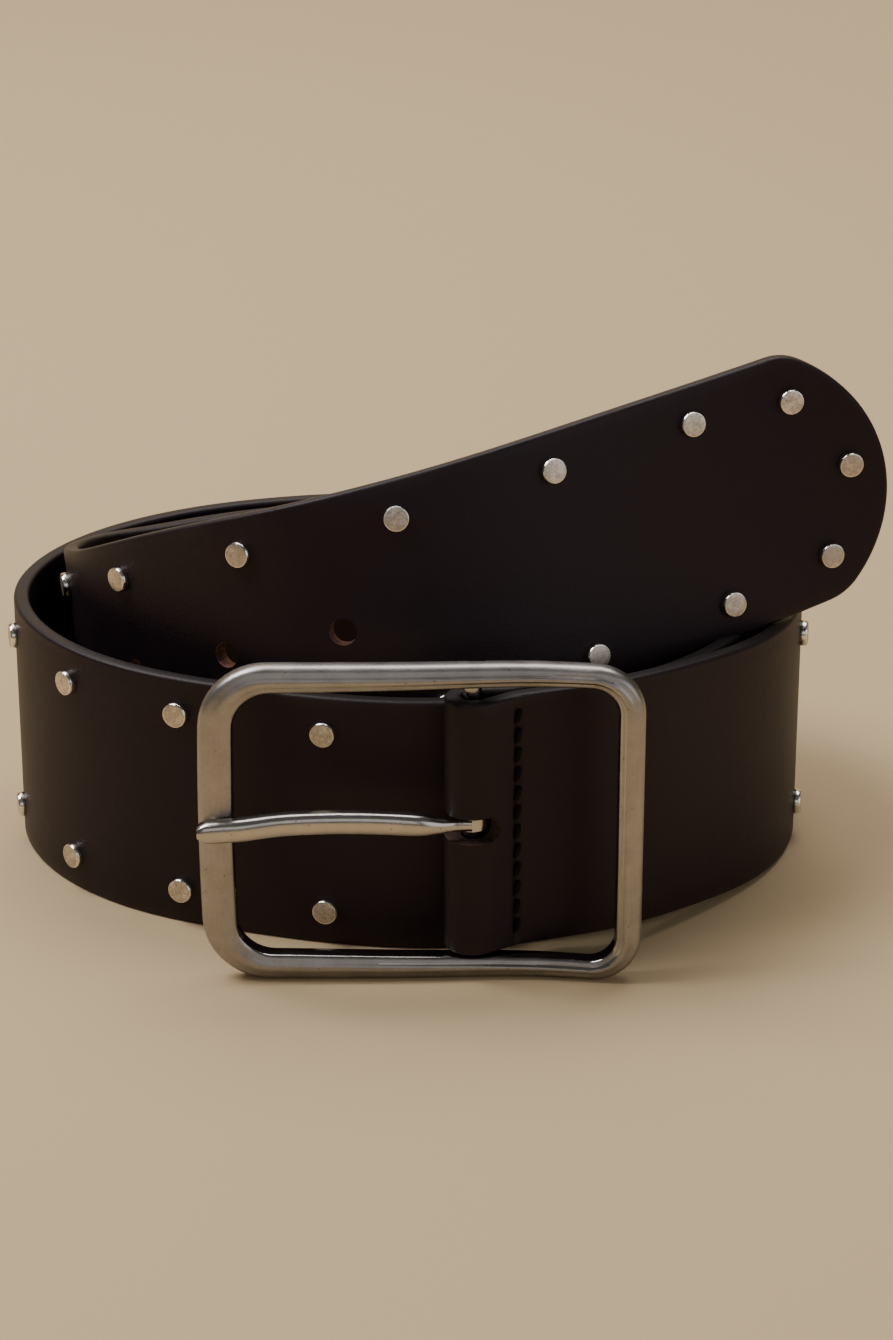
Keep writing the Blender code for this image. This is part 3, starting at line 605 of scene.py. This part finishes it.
class Value:
    """A shader socket on which Python's sums add Math nodes."""

    def __init__(self, finish, socket):
        self.finish = finish
        self.socket = socket

    def sum(self, operation, *others):
        inputs = dict(enumerate((self, *others)))
        return self.finish.node("ShaderNodeMath", {"operation": operation}, inputs)[0]

    def __add__(self, other):
        return self.sum("ADD", other)

    def __sub__(self, other):
        return self.sum("SUBTRACT", other)

    def __mul__(self, other):
        return self.sum("MULTIPLY", other)

    def __rsub__(self, other):
        inputs = {0: other, 1: self}
        return self.finish.node("ShaderNodeMath", {"operation": "SUBTRACT"}, inputs)[0]

    __radd__ = __add__

    def size(self):
        return self.sum("ABSOLUTE")

    def between(self, low, high):
        """0 below low, 1 above high, and a smooth rise between them."""
        settings = {"interpolation_type": "SMOOTHSTEP"}
        inputs = {"Value": self, "From Min": low, "From Max": high}
        return self.finish.node("ShaderNodeMapRange", settings, inputs)[0]


# %% One material and its nodes
class Finish:
    """A material, with one method that adds any node to it."""

    def __init__(self, name, viewport):
        self.material = bpy.data.materials.new(name)
        self.material.use_nodes = True
        self.material.diffuse_color = (*viewport, 1.0)
        self.tree = self.material.node_tree
        self.shader = self.tree.nodes["Principled BSDF"]

    def node(self, kind, settings=None, inputs=None):
        made = self.tree.nodes.new(kind)
        for name, value in (settings or {}).items():
            setattr(made, name, value)
        for key, value in (inputs or {}).items():
            self.feed(made.inputs[key], value)
        return [Value(self, socket) for socket in made.outputs]

    def feed(self, socket, value):
        if isinstance(value, Value):
            self.tree.links.new(value.socket, socket)
        else:
            socket.default_value = value

    def mix(self, share, first, second):
        """A colour part of the way from the first to the second."""
        inputs = {0: share, 6: opaque(first), 7: opaque(second)}
        return self.node("ShaderNodeMix", {"data_type": "RGBA"}, inputs)[2]

    def attribute(self, name, output="Vector"):
        made = self.node("ShaderNodeAttribute", {"attribute_name": name})
        return made[("Color", "Vector", "Fac", "Alpha").index(output)]

    def stretched(self, vector, scale):
        return self.node("ShaderNodeMapping", None, {"Vector": vector, "Scale": scale})[0]

    def noise(self, vector, scale, detail, roughness):
        inputs = {"Vector": vector, "Scale": scale, "Detail": detail, "Roughness": roughness}
        return self.node("ShaderNodeTexNoise", None, inputs)[0]

    def cells(self, vector, scale):
        """The distance from the nearest of many scattered points."""
        return self.node("ShaderNodeTexVoronoi", None, {"Vector": vector, "Scale": scale})[0]

    def bump(self, height, strength, distance):
        """A normal from a height, with its relief in metres."""
        inputs = {"Height": height, "Strength": strength, "Distance": distance}
        return self.node("ShaderNodeBump", None, inputs)[0]

    def finish(self, **values):
        names = {"colour": "Base Color", "roughness": "Roughness", "metallic": "Metallic",
                 "specular": "Specular IOR Level", "tint": "Specular Tint", "normal": "Normal"}
        for name, value in values.items():
            self.feed(self.shader.inputs[names[name]], opaque(value))
        return self.material


# %% [markdown]
# ### Leather, its painted edge and its cut walls
# The strap is smooth waxed leather, so dark a brown that it reads as black. Its grain is
# fine and low, and what shows is satin light broken by faint creases and by patches where
# the wax is worn. The edge is painted, a little greyer than the face. Inside the punched
# holes and the slot the leather is bare, brown and fibrous. In the slot it is also painted
# darker, as painted shade for the fold round the centre bar.

# %% The leather's face and edge
def leather_finish():
    made = Finish("belt_leather", (0.016, 0.011, 0.009))
    flat_place = made.attribute("flat")
    across = made.node("ShaderNodeSeparateXYZ", None, {0: flat_place})
    edge = 1.0 - across[2].size().between(DEEP - 0.00055, DEEP - 0.00003)
    near_edge = across[1].size().between(HALF - 0.0030, HALF - 0.0004)
    grain = made.cells(flat_place, 1500.0)
    pores = made.noise(flat_place, 2600.0, 4.0, 0.6)
    patches = made.noise(flat_place, 45.0, 4.0, 0.6)
    creases = made.noise(made.stretched(flat_place, (1.0, 0.25, 1.0)), 420.0, 5.0, 0.65)
    tone = patches * 0.6 + pores * 0.4
    face = made.mix(tone.between(0.30, 0.72), (0.0050, 0.0022, 0.0036), (0.0112, 0.0052, 0.0076))
    worn = made.mix(near_edge * patches.between(0.35, 0.7) * 0.5, face, (0.022, 0.015, 0.012))
    painted = made.mix(pores.between(0.3, 0.7), (0.012, 0.0105, 0.0100), (0.028, 0.025, 0.023))
    colour = made.mix(edge, worn, painted)
    smooth = 0.40 + patches * 0.16 + pores * 0.08 - near_edge * 0.05
    relief = grain * 0.35 + pores * 0.35 + creases * 0.5
    normal = made.bump(relief, 0.55, 0.00012)
    return made.finish(colour=colour, roughness=smooth, specular=0.30, tint=(1.0, 0.86, 0.94),
                       normal=normal)


def bare_leather_finish():
    made = Finish("bare_leather", (0.10, 0.055, 0.03))
    flat_place = made.attribute("flat")
    fibres = made.noise(made.stretched(flat_place, (1.0, 1.0, 0.3)), 2600.0, 5.0, 0.7)
    patches = made.noise(flat_place, 500.0, 3.0, 0.5)
    share = (fibres * 0.6 + patches * 0.4).between(0.3, 0.7)
    in_hole = made.mix(share, (0.050, 0.020, 0.013), (0.220, 0.100, 0.064))
    # The slot's walls are given a much darker copy of the holes' colour. This is painted shade, since
    # the slot lies deep in the fold round the centre bar.
    slot_walls_painted_shade = made.mix(share, (0.018, 0.010, 0.0085), (0.090, 0.056, 0.046))
    along = made.node("ShaderNodeSeparateXYZ", None, {0: flat_place})[0]
    # Painted shade in the slot, and the bare leather's own colour in the holes
    colour = made.mix(along.between(SLOT_REACH, HALF), slot_walls_painted_shade, in_hole)
    normal = made.bump(fibres, 0.8, 0.0002)
    return made.finish(colour=colour, roughness=0.85, specular=0.25, normal=normal)


strap_mesh.materials.append(leather_finish())
strap_mesh.materials.append(bare_leather_finish())
strap_mesh.polygons.foreach_set("material_index", cut_walls)
print("finishes on the strap:", [m.name for m in strap_mesh.materials])

# %% [markdown]
# ### Nickel
# The fittings are cast metal with a satin nickel plate, rubbed in one direction. Fine lines
# follow the long way of each bar, small pits and scratches break them, and the plate is a
# little warm from age. The lines change the roughness and the relief far more than the colour.

# %% Brushed and polished nickel
def nickel_finish(name, dark, light, rough, brushed=1.0, middle=0.0, swap_height=None):
    """Nickel brushed along X, and along Z on the end bars when a height is given."""
    made = Finish(name, light)
    place = made.node("ShaderNodeTexCoord")[3]
    lines = made.noise(made.stretched(place, (0.04, 1.0, 1.0)), 5200.0, 4.0, 0.6)
    if swap_height is not None:
        upright = made.noise(made.stretched(place, (1.0, 1.0, 0.04)), 5200.0, 4.0, 0.6)
        height = made.node("ShaderNodeSeparateXYZ", None, {0: place})[2]
        on_long_bar = (height - middle).size().between(swap_height - 0.0035, swap_height + 0.0005)
        lines = lines * on_long_bar + upright * (1.0 - on_long_bar)
    clouds = made.noise(place, 210.0, 4.0, 0.55)
    speckle = made.noise(place, 1900.0, 3.0, 0.6)
    wave = made.noise(place, 75.0, 1.0, 0.4)
    pits = made.cells(place, 480.0).between(0.045, 0.095)
    scratches = made.noise(made.stretched(place, (0.3, 1.0, 0.12)), 900.0, 2.0, 0.4)
    scratch = 1.0 - (scratches - 0.5).size().between(0.003, 0.012)
    tone = lines * 0.25 * brushed + clouds * 0.5 + speckle * 0.2
    colour = made.mix(tone.between(0.25, 0.70), dark, light)
    colour = made.mix((1.0 - pits) * 0.75, colour, (0.07, 0.055, 0.045))
    roughness = rough + (lines * 0.12 * brushed + clouds * 0.10) + scratch * 0.05 * brushed
    relief = lines * 0.5 * brushed + pits * 0.6 - scratch * 0.25 + clouds * 0.3 + wave * 9.0
    normal = made.bump(relief, 0.30, 0.00005)
    return made.finish(colour=colour, roughness=roughness, metallic=1.0, normal=normal)


frame_low, frame_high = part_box("buckle_frame")
frame_middle = (frame_low[2] + frame_high[2]) / 2
LONG_BAR_FROM_MIDDLE = (frame_high[2] - frame_low[2]) / 2 - LONG_BAR_LEFT
frame_nickel = nickel_finish("brushed_nickel_frame", (0.288, 0.270, 0.256), (0.420, 0.393, 0.372),
                             0.26, 1.0, frame_middle, LONG_BAR_FROM_MIDDLE)
wall_nickel = nickel_finish("polished_nickel_walls", (0.36, 0.345, 0.33), (0.46, 0.44, 0.42),
                            0.07, 0.15)
prong_nickel = nickel_finish("polished_nickel_prong", (0.47, 0.445, 0.41), (0.62, 0.59, 0.55),
                             0.15, 0.3)
print("frame's middle height:", round(frame_middle, 4))


# %% Nickel for the studs, with a bright worn rim
def stud_finish():
    made = Finish("stud_nickel", (0.6, 0.55, 0.48))
    place = made.node("ShaderNodeTexCoord")[3]
    rim = made.attribute("rim", "Fac")
    tone = made.attribute("tone", "Fac")
    clouds = made.noise(place, 700.0, 5.0, 0.65)
    spots = made.noise(place, 2400.0, 4.0, 0.7)
    pits = made.cells(place, 1900.0).between(0.06, 0.26)
    worn = rim.between(0.80, 0.93)
    stain = (clouds * 0.6 + spots * 0.4 + tone * 0.18).between(0.42, 0.68)
    face = made.mix(stain, (0.78, 0.71, 0.62), (0.49, 0.435, 0.37))
    face = made.mix((1.0 - pits) * 0.55, face, (0.16, 0.13, 0.11))
    face = made.mix(spots.between(0.56, 0.70) * 0.65, face, (0.17, 0.14, 0.115))
    colour = made.mix(worn, face, (0.84, 0.80, 0.73))
    rough = (0.34 + clouds * 0.16 + spots * 0.08) * (1.0 - worn) + worn * 0.16
    normal = made.bump(clouds * 0.5 + spots * 0.4 + pits * 0.4, 0.45, 0.00008)
    return made.finish(colour=colour, roughness=rough, metallic=1.0, normal=normal)


def thread_finish():
    made = Finish("waxed_thread", (0.03, 0.024, 0.02))
    place = made.node("ShaderNodeTexCoord")[3]
    twist = made.node("ShaderNodeTexWave", {"bands_direction": "DIAGONAL"},
                      {"Vector": place, "Scale": 900.0, "Distortion": 0.6, "Detail": 1.0})[1]
    colour = made.mix(twist, (0.0015, 0.0010, 0.0010), (0.0050, 0.0036, 0.0034))
    normal = made.bump(twist, 0.6, 0.00008)
    return made.finish(colour=colour, roughness=0.75, specular=0.14, normal=normal)


stud_nickel = stud_finish()
thread = thread_finish()

# %% [markdown]
# ## The studs
# Each stud is a flat round head with a softened rim, pressed down on the leather, and its
# shank ends flush behind the strap. The head is a profile turned round an axis, which takes
# few faces and gives the rim its true round.

# %% One stud
STUD_SIDES = 28
STUD_PROFILE = [
    # radius and depth from the strap's middle, in shares of the head, and the rim's mask
    ("shank end", 0.30, -DEEP - 0.00006, 0.0),
    ("shank side", 0.32, -DEEP + 0.00010, 0.0),
    ("in the leather", 0.32, DEEP - 0.0002, 0.0),
    ("under the head", 0.96, DEEP - 0.0001, 1.0),
    ("head's foot", 1.00, DEEP + 0.00025, 1.0),
    ("head's side", 1.00, DEEP + STUD_HEIGHT - 0.00060, 1.0),
    ("rim, outer", 0.975, DEEP + STUD_HEIGHT - 0.00026, 1.0),
    ("rim, top", 0.915, DEEP + STUD_HEIGHT - 0.00006, 0.95),
    ("face, outer", 0.84, DEEP + STUD_HEIGHT, 0.80),
    ("face, middle", 0.42, DEEP + STUD_HEIGHT + 0.00003, 0.4),
]


def turned_shape(profile, radius, sides):
    shape = bmesh.new()
    rim = shape.verts.layers.float.new("rim")
    loops = []
    for _, share, depth, mask in profile:
        loop = [shape.verts.new((x, y, depth)) for x, y in round_points(0, 0, share * radius, sides)]
        for vert in loop:
            vert[rim] = mask
        loops.append(loop)
    bridge(shape, loops)
    for loop in (loops[0], loops[-1]):
        centre = shape.verts.new(sum((v.co for v in loop), Vector()) / sides)
        for k in range(sides):
            shape.faces.new((loop[k], loop[(k + 1) % sides], centre))
    bmesh.ops.recalc_face_normals(shape, faces=shape.faces)
    return mesh_of(shape, "turned")


# %% All the studs
row = HALF - STUD_FROM_EDGE
stud_places = [
    (BELT_LENGTH - TIP_STUD_FROM_TIP, 0.0, 0.0),
    (BELT_LENGTH - TIP_PAIR_FROM_TIP, HALF - TIP_PAIR_FROM_EDGE, 0.0),
    (BELT_LENGTH - TIP_PAIR_FROM_TIP, TIP_PAIR_FROM_EDGE - HALF, 0.0),
]
pair_lengths = [BELT_LENGTH - FIRST_PAIR_FROM_TIP]
for count, pitch in STUD_STRETCHES:
    pair_lengths += [pair_lengths[-1] - pitch * (k + 1) for k in range(count)]
stud_places += [(length, side * row, 0.0) for length in pair_lengths for side in (1, -1)]
stud_mesh = set_shapes("studs", turned_shape(STUD_PROFILE, STUD_RADIUS, STUD_SIDES), stud_places, {
    "Tilt": math.radians(1.2), "Spin": math.pi, "Size Spread": 0.01, "Seed": 4,
    "Material": stud_nickel,
})
studs = piece("studs", stud_mesh)
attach(studs, "strap")
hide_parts(*[name for name in frame["nodes"] if name.startswith("stud_")])
print("studs:", len(stud_places), "faces:", len(stud_mesh.polygons))

# %% [markdown]
# ## The stitches
# One row of waxed thread holds the flap beside the buckle. Each stitch is a short bar of
# thread whose ends dive into the leather, in a groove that the thread has pressed. The same
# tree sets them down on the face and on the back of the flap.

# %% One stitch, and both rows
STITCH_PITCH = 0.0038
STITCH_STEPS = 9
STITCH_COUNT = 12
THREAD_RADIUS = 0.00058
THREAD_SIDES = 8


def stitch_shape():
    """A thread bar along Y that rises from the leather and dives again."""
    rings = []
    for share in np.linspace(-1.0, 1.0, STITCH_STEPS):
        y = share * STITCH_PITCH * 0.45
        rise = THREAD_RADIUS * (0.62 - 1.9 * abs(share) ** 5)
        radius = THREAD_RADIUS * (1.0 - 0.35 * abs(share) ** 4)
        slant = THREAD_RADIUS * 0.80 * share
        rings.append([(slant + x, y, rise + 0.85 * z)
                      for x, z in round_points(0.0, 0.0, radius, THREAD_SIDES)])
    return tube(rings, "stitch")


stitch_heights = [(k - (STITCH_COUNT - 1) / 2) * STITCH_PITCH for k in range(STITCH_COUNT)]
stitch_places = [
    (line, height, DEEP - GROOVE_DEPTH * 0.8)
    for line in (STITCH_LINE, FLAP_STITCH_LINE) for height in stitch_heights
]
stitch_mesh = set_shapes("stitches", stitch_shape(), stitch_places, {
    "Tilt": 0.0, "Spin": math.radians(4.0), "Size Spread": 0.04, "Seed": 9, "Material": thread,
})
stitches = piece("stitches", stitch_mesh)
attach(stitches, "strap")
print("stitches in each row:", STITCH_COUNT, "from end to end:", STITCH_COUNT * STITCH_PITCH)

# %% [markdown]
# ## The buckle's frame
# The frame is one casting: a flat rectangular ring with round corners, a wider left end that
# bows out a little, and a round bar across it. A section is carried round two outlines, the
# outer and the inner, so the bars can have different widths and still meet cleanly.

# %% Sizes of the frame, from the axis of its bar
BAR_TO_LEFT_END = 0.0485
BAR_TO_RIGHT_END = 0.0308
LEFT_BAR_WIDTH = 0.0060
RIGHT_BAR_WIDTH = 0.0048
WINDOW_CLEARANCE = 0.0008
FRAME_HEIGHT = STRAP_WIDTH + 2 * WINDOW_CLEARANCE + 2 * LONG_BAR_LEFT
FRAME_DEPTH = 0.0043
BAR_BEHIND_FRONT = 0.0056
BAR_END_INSET = 0.001
END_BOW = 0.0008
LEFT_CORNER_RADIUS = 0.0118
RIGHT_CORNER_RADIUS = 0.0090

# The section's edges: across the bar and behind the front as shares, and how far each is
# rounded. The two front edges lie a little back, so the front is crowned between them.
INNER_FRONT_ROUND = 0.0011
FRAME_EDGES = [
    ("outer back", 0.0, 1.0, 0.0009),
    ("outer front", 0.0, 0.12, 0.0016),
    ("inner front", 1.0, 0.12, INNER_FRONT_ROUND),
    ("inner back", 1.0, 1.0, 0.0005),
]
EDGE_STEPS = 4
CROWN_STEPS = 7
CORNER_STEPS = 12
SIDE_STEPS = 18

# How deep the frame waves: back at the bar, forward at the right end
DIP_AT_BAR = 0.0008
DIP_CENTRE = 0.0078
DIP_REACH = 0.0156
RISE_AT_RIGHT_END = 0.0012
RISE_FROM = 0.0094


def rounded_rectangle(left, right, low, high, left_radius, right_radius, bow):
    centres = [
        (left + left_radius, low + left_radius, left_radius, math.pi),
        (right - right_radius, low + right_radius, right_radius, 1.5 * math.pi),
        (right - right_radius, high - right_radius, right_radius, 0.0),
        (left + left_radius, high - left_radius, left_radius, 0.5 * math.pi),
    ]
    points = []
    for index, (x, z, radius, start) in enumerate(centres):
        for k in range(CORNER_STEPS + 1):
            angle = start + 0.5 * math.pi * k / CORNER_STEPS
            points.append((x + radius * math.cos(angle), z + radius * math.sin(angle)))
        x_next, z_next, radius_next, start_next = centres[(index + 1) % 4]
        goal = (x_next + radius_next * math.cos(start_next), z_next + radius_next * math.sin(start_next))
        begin = points[-1]
        for k in range(1, SIDE_STEPS):
            points.append(tuple(a + (b - a) * k / SIDE_STEPS for a, b in zip(begin, goal)))
    middle = (low + high) / 2
    return [
        (x - bow * (1.0 - ((z - middle) / (high - middle)) ** 2)
         * smoothstep((left + left_radius - x) / left_radius), z)
        for x, z in points
    ]


def depth_wave(x):
    dip = DIP_AT_BAR * math.exp(-((x - DIP_CENTRE) / DIP_REACH) ** 2)
    rise = RISE_AT_RIGHT_END * smoothstep((x - RISE_FROM) / (BAR_TO_RIGHT_END - RISE_FROM))
    return dip - rise


print("frame's height:", round(FRAME_HEIGHT, 4))

# %% The section, and the ring
def frame_section(width):
    """Points round the bar's section: across from its outer side, and behind the front."""
    points = []
    starts = [0.5 * math.pi, math.pi, 1.5 * math.pi, 0.0]
    for (name, across, deep, soft), start in zip(FRAME_EDGES, starts):
        x = across * width
        y = deep * FRAME_DEPTH
        cx = x + soft if across < 0.5 else x - soft
        cy = y + soft if deep < 0.5 else y - soft
        for k in range(EDGE_STEPS + 1):
            angle = start + 0.5 * math.pi * k / EDGE_STEPS
            points.append((cx + soft * math.cos(angle), cy + soft * math.sin(angle)))
        if name == "outer front":
            span = width - soft - INNER_FRONT_ROUND
            for k in range(1, CROWN_STEPS):
                share = k / CROWN_STEPS
                points.append((soft + span * share, y * (1.0 - math.sin(math.pi * share))))
    return points


def ring_shape():
    left, right = -BAR_TO_LEFT_END, BAR_TO_RIGHT_END
    outer = rounded_rectangle(left, right, 0.0, FRAME_HEIGHT, LEFT_CORNER_RADIUS, RIGHT_CORNER_RADIUS,
                              END_BOW)
    inner = rounded_rectangle(
        left + LEFT_BAR_WIDTH, right - RIGHT_BAR_WIDTH, LONG_BAR_LEFT, FRAME_HEIGHT - LONG_BAR_LEFT,
        LEFT_CORNER_RADIUS - LONG_BAR_LEFT, RIGHT_CORNER_RADIUS - LONG_BAR_RIGHT, END_BOW / 2,
    )
    middle = FRAME_HEIGHT / 2
    shape = bmesh.new()
    rings = []
    for (x_out, z_out), (x_in, z_in) in zip(outer, inner):
        if abs(z_in - middle) > middle / 2:
            taper = smoothstep((x_in - left) / (right - left)) * (LONG_BAR_LEFT - LONG_BAR_RIGHT)
            z_in += math.copysign(taper, z_in - middle)
        away = Vector((x_in - x_out, 0.0, z_in - z_out))
        width = away.length
        away.normalize()
        ring = []
        for across, behind in frame_section(width):
            x = x_out + away.x * across
            y = behind - BAR_BEHIND_FRONT + depth_wave(x)
            ring.append(shape.verts.new(bar_place + Vector((x, y, z_out + away.z * across))))
        rings.append(ring)
    bridge(shape, rings, closed=True)
    bmesh.ops.recalc_face_normals(shape, faces=shape.faces)
    return shape


def cylinder(radius, low, high):
    """A round bar on the axis that the frame and the prong turn on."""
    shape = bmesh.new()
    add_prism(shape, round_points(bar_place.x, bar_place.y, radius, ROUND_SIDES), low, high)
    bmesh.ops.recalc_face_normals(shape, faces=shape.faces)
    return shape


frame_mesh = combined(
    mesh_of(ring_shape(), "ring"),
    mesh_of(cylinder(BAR_RADIUS, BAR_END_INSET, FRAME_HEIGHT - BAR_END_INSET), "bar"), "UNION",
)
frame_mesh.materials.clear()
frame_mesh.materials.append(frame_nickel)
frame_mesh.materials.append(wall_nickel)
WALL_TURN = 0.80
ON_BAR = 1.05 * BAR_RADIUS
window_middle = bar_place + Vector(((BAR_TO_RIGHT_END - BAR_TO_LEFT_END) / 2, 0.0, FRAME_HEIGHT / 2))
for face in frame_mesh.polygons:
    inwards = window_middle - face.center
    faces_in = face.normal.x * inwards.x + face.normal.z * inwards.z > 0
    on_wall = abs(face.normal.y) < WALL_TURN and faces_in
    on_bar = math.hypot(face.center.x - bar_place.x, face.center.y - bar_place.y) < ON_BAR
    face.material_index = 1 if on_wall or on_bar else 0
buckle = piece("buckle_frame_nickel", frame_mesh)
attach(buckle, "buckle")
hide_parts("buckle_frame")
print("frame faces:", len(frame_mesh.polygons))

# %% [markdown]
# ## The prong
# The prong is a bar, half round in front and flat behind, with a thin neck that passes
# through the slot and an eye that turns on the centre bar. A smooth spline through a short
# table gives its middle line and its section, and the eye is joined to it by a Boolean.

# %% Its table and its body
PRONG_HEIGHT = 0.0042
PRONG_THICKNESS = 0.0028
NECK_HEIGHT = 0.0024
NECK_THICKNESS = 0.0018
EYE_WALL = 0.0009
PRONG_RISE = 0.0015
EYE_ABOVE_MIDDLE = 0.0004
EYE_LEVEL = BUCKLE_LIFT + HALF + EYE_ABOVE_MIDDLE

# place, x share of the reach, y share from the neck's line to the tip's, rise, height and
# thickness shares from the neck's to the body's, and the share of the height left at the tip
PRONG_TABLE = [
    ("inside the eye", 0.000, 0.00, 0.0, 0.0, 0.0, 1.00),
    ("leaving the eye", 0.060, 0.03, 0.0, 0.0, 0.0, 1.00),
    ("in the slot", 0.105, 0.18, 0.1, 0.1, 0.3, 1.00),
    ("shoulder", 0.165, 0.34, 0.4, 0.7, 0.9, 1.00),
    ("body near the slot", 0.260, 0.42, 0.7, 1.0, 1.0, 1.00),
    ("body", 0.450, 0.48, 1.0, 1.0, 1.0, 1.00),
    ("body, middle", 0.600, 0.55, 1.0, 1.0, 1.0, 1.00),
    ("rising", 0.740, 0.74, 0.9, 1.0, 1.0, 1.00),
    ("before the end bar", 0.840, 0.94, 0.7, 1.0, 1.0, 1.00),
    ("on the end bar", 0.915, 1.00, 0.6, 1.0, 1.0, 1.00),
    ("tip begins", 0.960, 1.00, 0.5, 1.0, 1.0, 0.97),
    ("tip", 0.985, 1.00, 0.5, 1.0, 0.9, 0.80),
    ("tip end", 1.000, 1.00, 0.5, 1.0, 0.5, 0.50),
]
PRONG_RINGS = 70


def dome_points():
    """The prong's section: a flat back with soft corners and a round front."""
    points = [(-0.44, 0.50), (0.44, 0.50), (0.50, 0.42), (0.50, 0.05)]
    for angle in np.linspace(0.0, math.pi, 11)[1:-1]:
        points.append((0.5 * math.cos(angle), 0.05 - 0.55 * math.sin(angle) ** 0.8))
    return points + [(-0.50, 0.05), (-0.50, 0.42)]


def prong_body():
    reach = BAR_TO_LEFT_END + END_BOW
    neck_y = -(BAR_RADIUS + FIT_GAP + EYE_WALL / 2)
    tip_y = -(BAR_BEHIND_FRONT + FIT_GAP + PRONG_THICKNESS / 2)
    rings = []
    table = open_curve(np.array([row[1:] for row in PRONG_TABLE]), PRONG_RINGS, plane=1)
    for x, y, rise, tall, thick, left in table:
        height = (NECK_HEIGHT + (PRONG_HEIGHT - NECK_HEIGHT) * tall) * left
        depth = NECK_THICKNESS + (PRONG_THICKNESS - NECK_THICKNESS) * thick
        centre = bar_place + Vector((-reach * x, neck_y + (tip_y - neck_y) * y,
                                     EYE_LEVEL + PRONG_RISE * rise))
        rings.append([centre + Vector((0.0, depth * b, height * a)) for a, b in dome_points()])
    return tube(rings, "prong")


# %% Its eye, and the whole prong
room = BAR_RADIUS + FIT_GAP
eye_span = (EYE_LEVEL - NECK_HEIGHT / 2, EYE_LEVEL + NECK_HEIGHT / 2)
eye = mesh_of(cylinder(room + EYE_WALL, *eye_span), "eye")
prong_mesh = combined(eye, prong_body(), "UNION")
clear = mesh_of(cylinder(room, EYE_LEVEL - PRONG_HEIGHT, EYE_LEVEL + PRONG_HEIGHT), "room")
prong_mesh = combined(prong_mesh, clear, "DIFFERENCE")
prong_mesh.materials.clear()
prong_mesh.materials.append(prong_nickel)
prong = piece("prong_nickel_bar", prong_mesh)
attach(prong, "prong")
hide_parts("prong")
print("prong faces:", len(prong_mesh.polygons))

# %% [markdown]
# ## The studio
# The belt stands on a plain warm surface that curves up into the backdrop, so no line shows
# where they meet. The key light is large and high on the left, which gives the soft shadow
# on the right. Weak lights in front keep the dark leather readable, and one above lights the
# paper behind it.

# %% Floor and backdrop
def sweep_mesh():
    shape = bmesh.new()
    profile = [(-3.0, 0.0), (-1.0, 0.0), (0.0, 0.0), (0.8, 0.0)]
    profile += [(0.8 + 0.6 * math.sin(a), 0.6 * (1.0 - math.cos(a)))
                for a in np.linspace(0.0, math.pi / 2, 14)[1:]]
    profile += [(1.4, 1.2), (1.4, 2.6)]
    rows = [[shape.verts.new((x, y, z)) for y, z in profile] for x in (-3.0, -1.0, 1.0, 3.0)]
    for row, following in zip(rows, rows[1:]):
        for k in range(len(profile) - 1):
            shape.faces.new((row[k], following[k], following[k + 1], row[k + 1]))
    mesh = mesh_of(shape, "sweep")
    mesh.shade_smooth()
    return mesh


paper = Finish("studio_paper", (0.5, 0.43, 0.34))
sweep = piece("studio_sweep", sweep_mesh())
sweep.data.materials.append(paper.finish(colour=(0.572, 0.433, 0.250), roughness=0.9, specular=0.2))


# %% Lights
# name, place, aim, width, height, watts, colour
LIGHTS = [
    ("key", (-0.72, 0.06, 1.15), (0.0, 0.0, 0.03), 0.7, 0.7, 15.8, (1.0, 0.98, 0.97)),
    ("fill", (1.1, -0.8, 0.5), (0.0, 0.0, 0.04), 1.2, 0.9, 3.2, (1.0, 0.98, 1.0)),
    ("front", (-0.1, -1.4, 0.6), (0.0, 0.0, 0.04), 1.2, 0.6, 1.4, (1.0, 0.97, 0.98)),
    ("top", (0.1, 0.7, 1.5), (0.0, 0.5, 0.0), 1.4, 1.0, 16.5, (1.0, 0.98, 0.99)),
]
for name, place, aim, width, height, watts, colour in LIGHTS:
    light = bpy.data.lights.new(name, "AREA")
    light.shape = "RECTANGLE"
    light.size = width
    light.size_y = height
    light.energy = watts
    light.color = colour
    item = bpy.data.objects.new(name, light)
    item.location = place
    item.rotation_euler = (Vector(aim) - Vector(place)).to_track_quat("-Z", "Y").to_euler()
    bpy.context.scene.collection.objects.link(item)
print("lights:", [row[0] for row in LIGHTS])

# %% The room's own light
world = bpy.data.worlds.new("studio")
bpy.context.scene.world = world
world.use_nodes = True
room_light = world.node_tree.nodes["Background"].inputs
room_light["Color"].default_value = (0.80, 0.77, 0.74, 1.0)
room_light["Strength"].default_value = 0.13

# %% [markdown]
# ## The camera
# The photograph looks down on the belt by about 23 degrees, from in front. The camera's place
# was worked out from the belt's own points: the frame's corners, the studs and the rims.

# %% Camera
IMAGE_HEIGHT = 1340.0
FOCAL_PIXELS = 3625.0
SENSOR = 36.0
LOOKING_DOWN = math.radians(22.9)
CAMERA_FROM_LOOP = Vector((0.0071, -0.6577, 0.3104))

camera_data = bpy.data.cameras.new("camera")
camera_data.sensor_width = SENSOR
camera_data.lens = FOCAL_PIXELS / IMAGE_HEIGHT * SENSOR
camera = bpy.data.objects.new("camera", camera_data)
camera.location = loop_centre + CAMERA_FROM_LOOP
camera.rotation_euler = (math.pi / 2 - LOOKING_DOWN, 0.0, 0.0)
bpy.context.scene.collection.objects.link(camera)
bpy.context.scene.camera = camera
print("camera at", [round(c, 4) for c in camera.location])
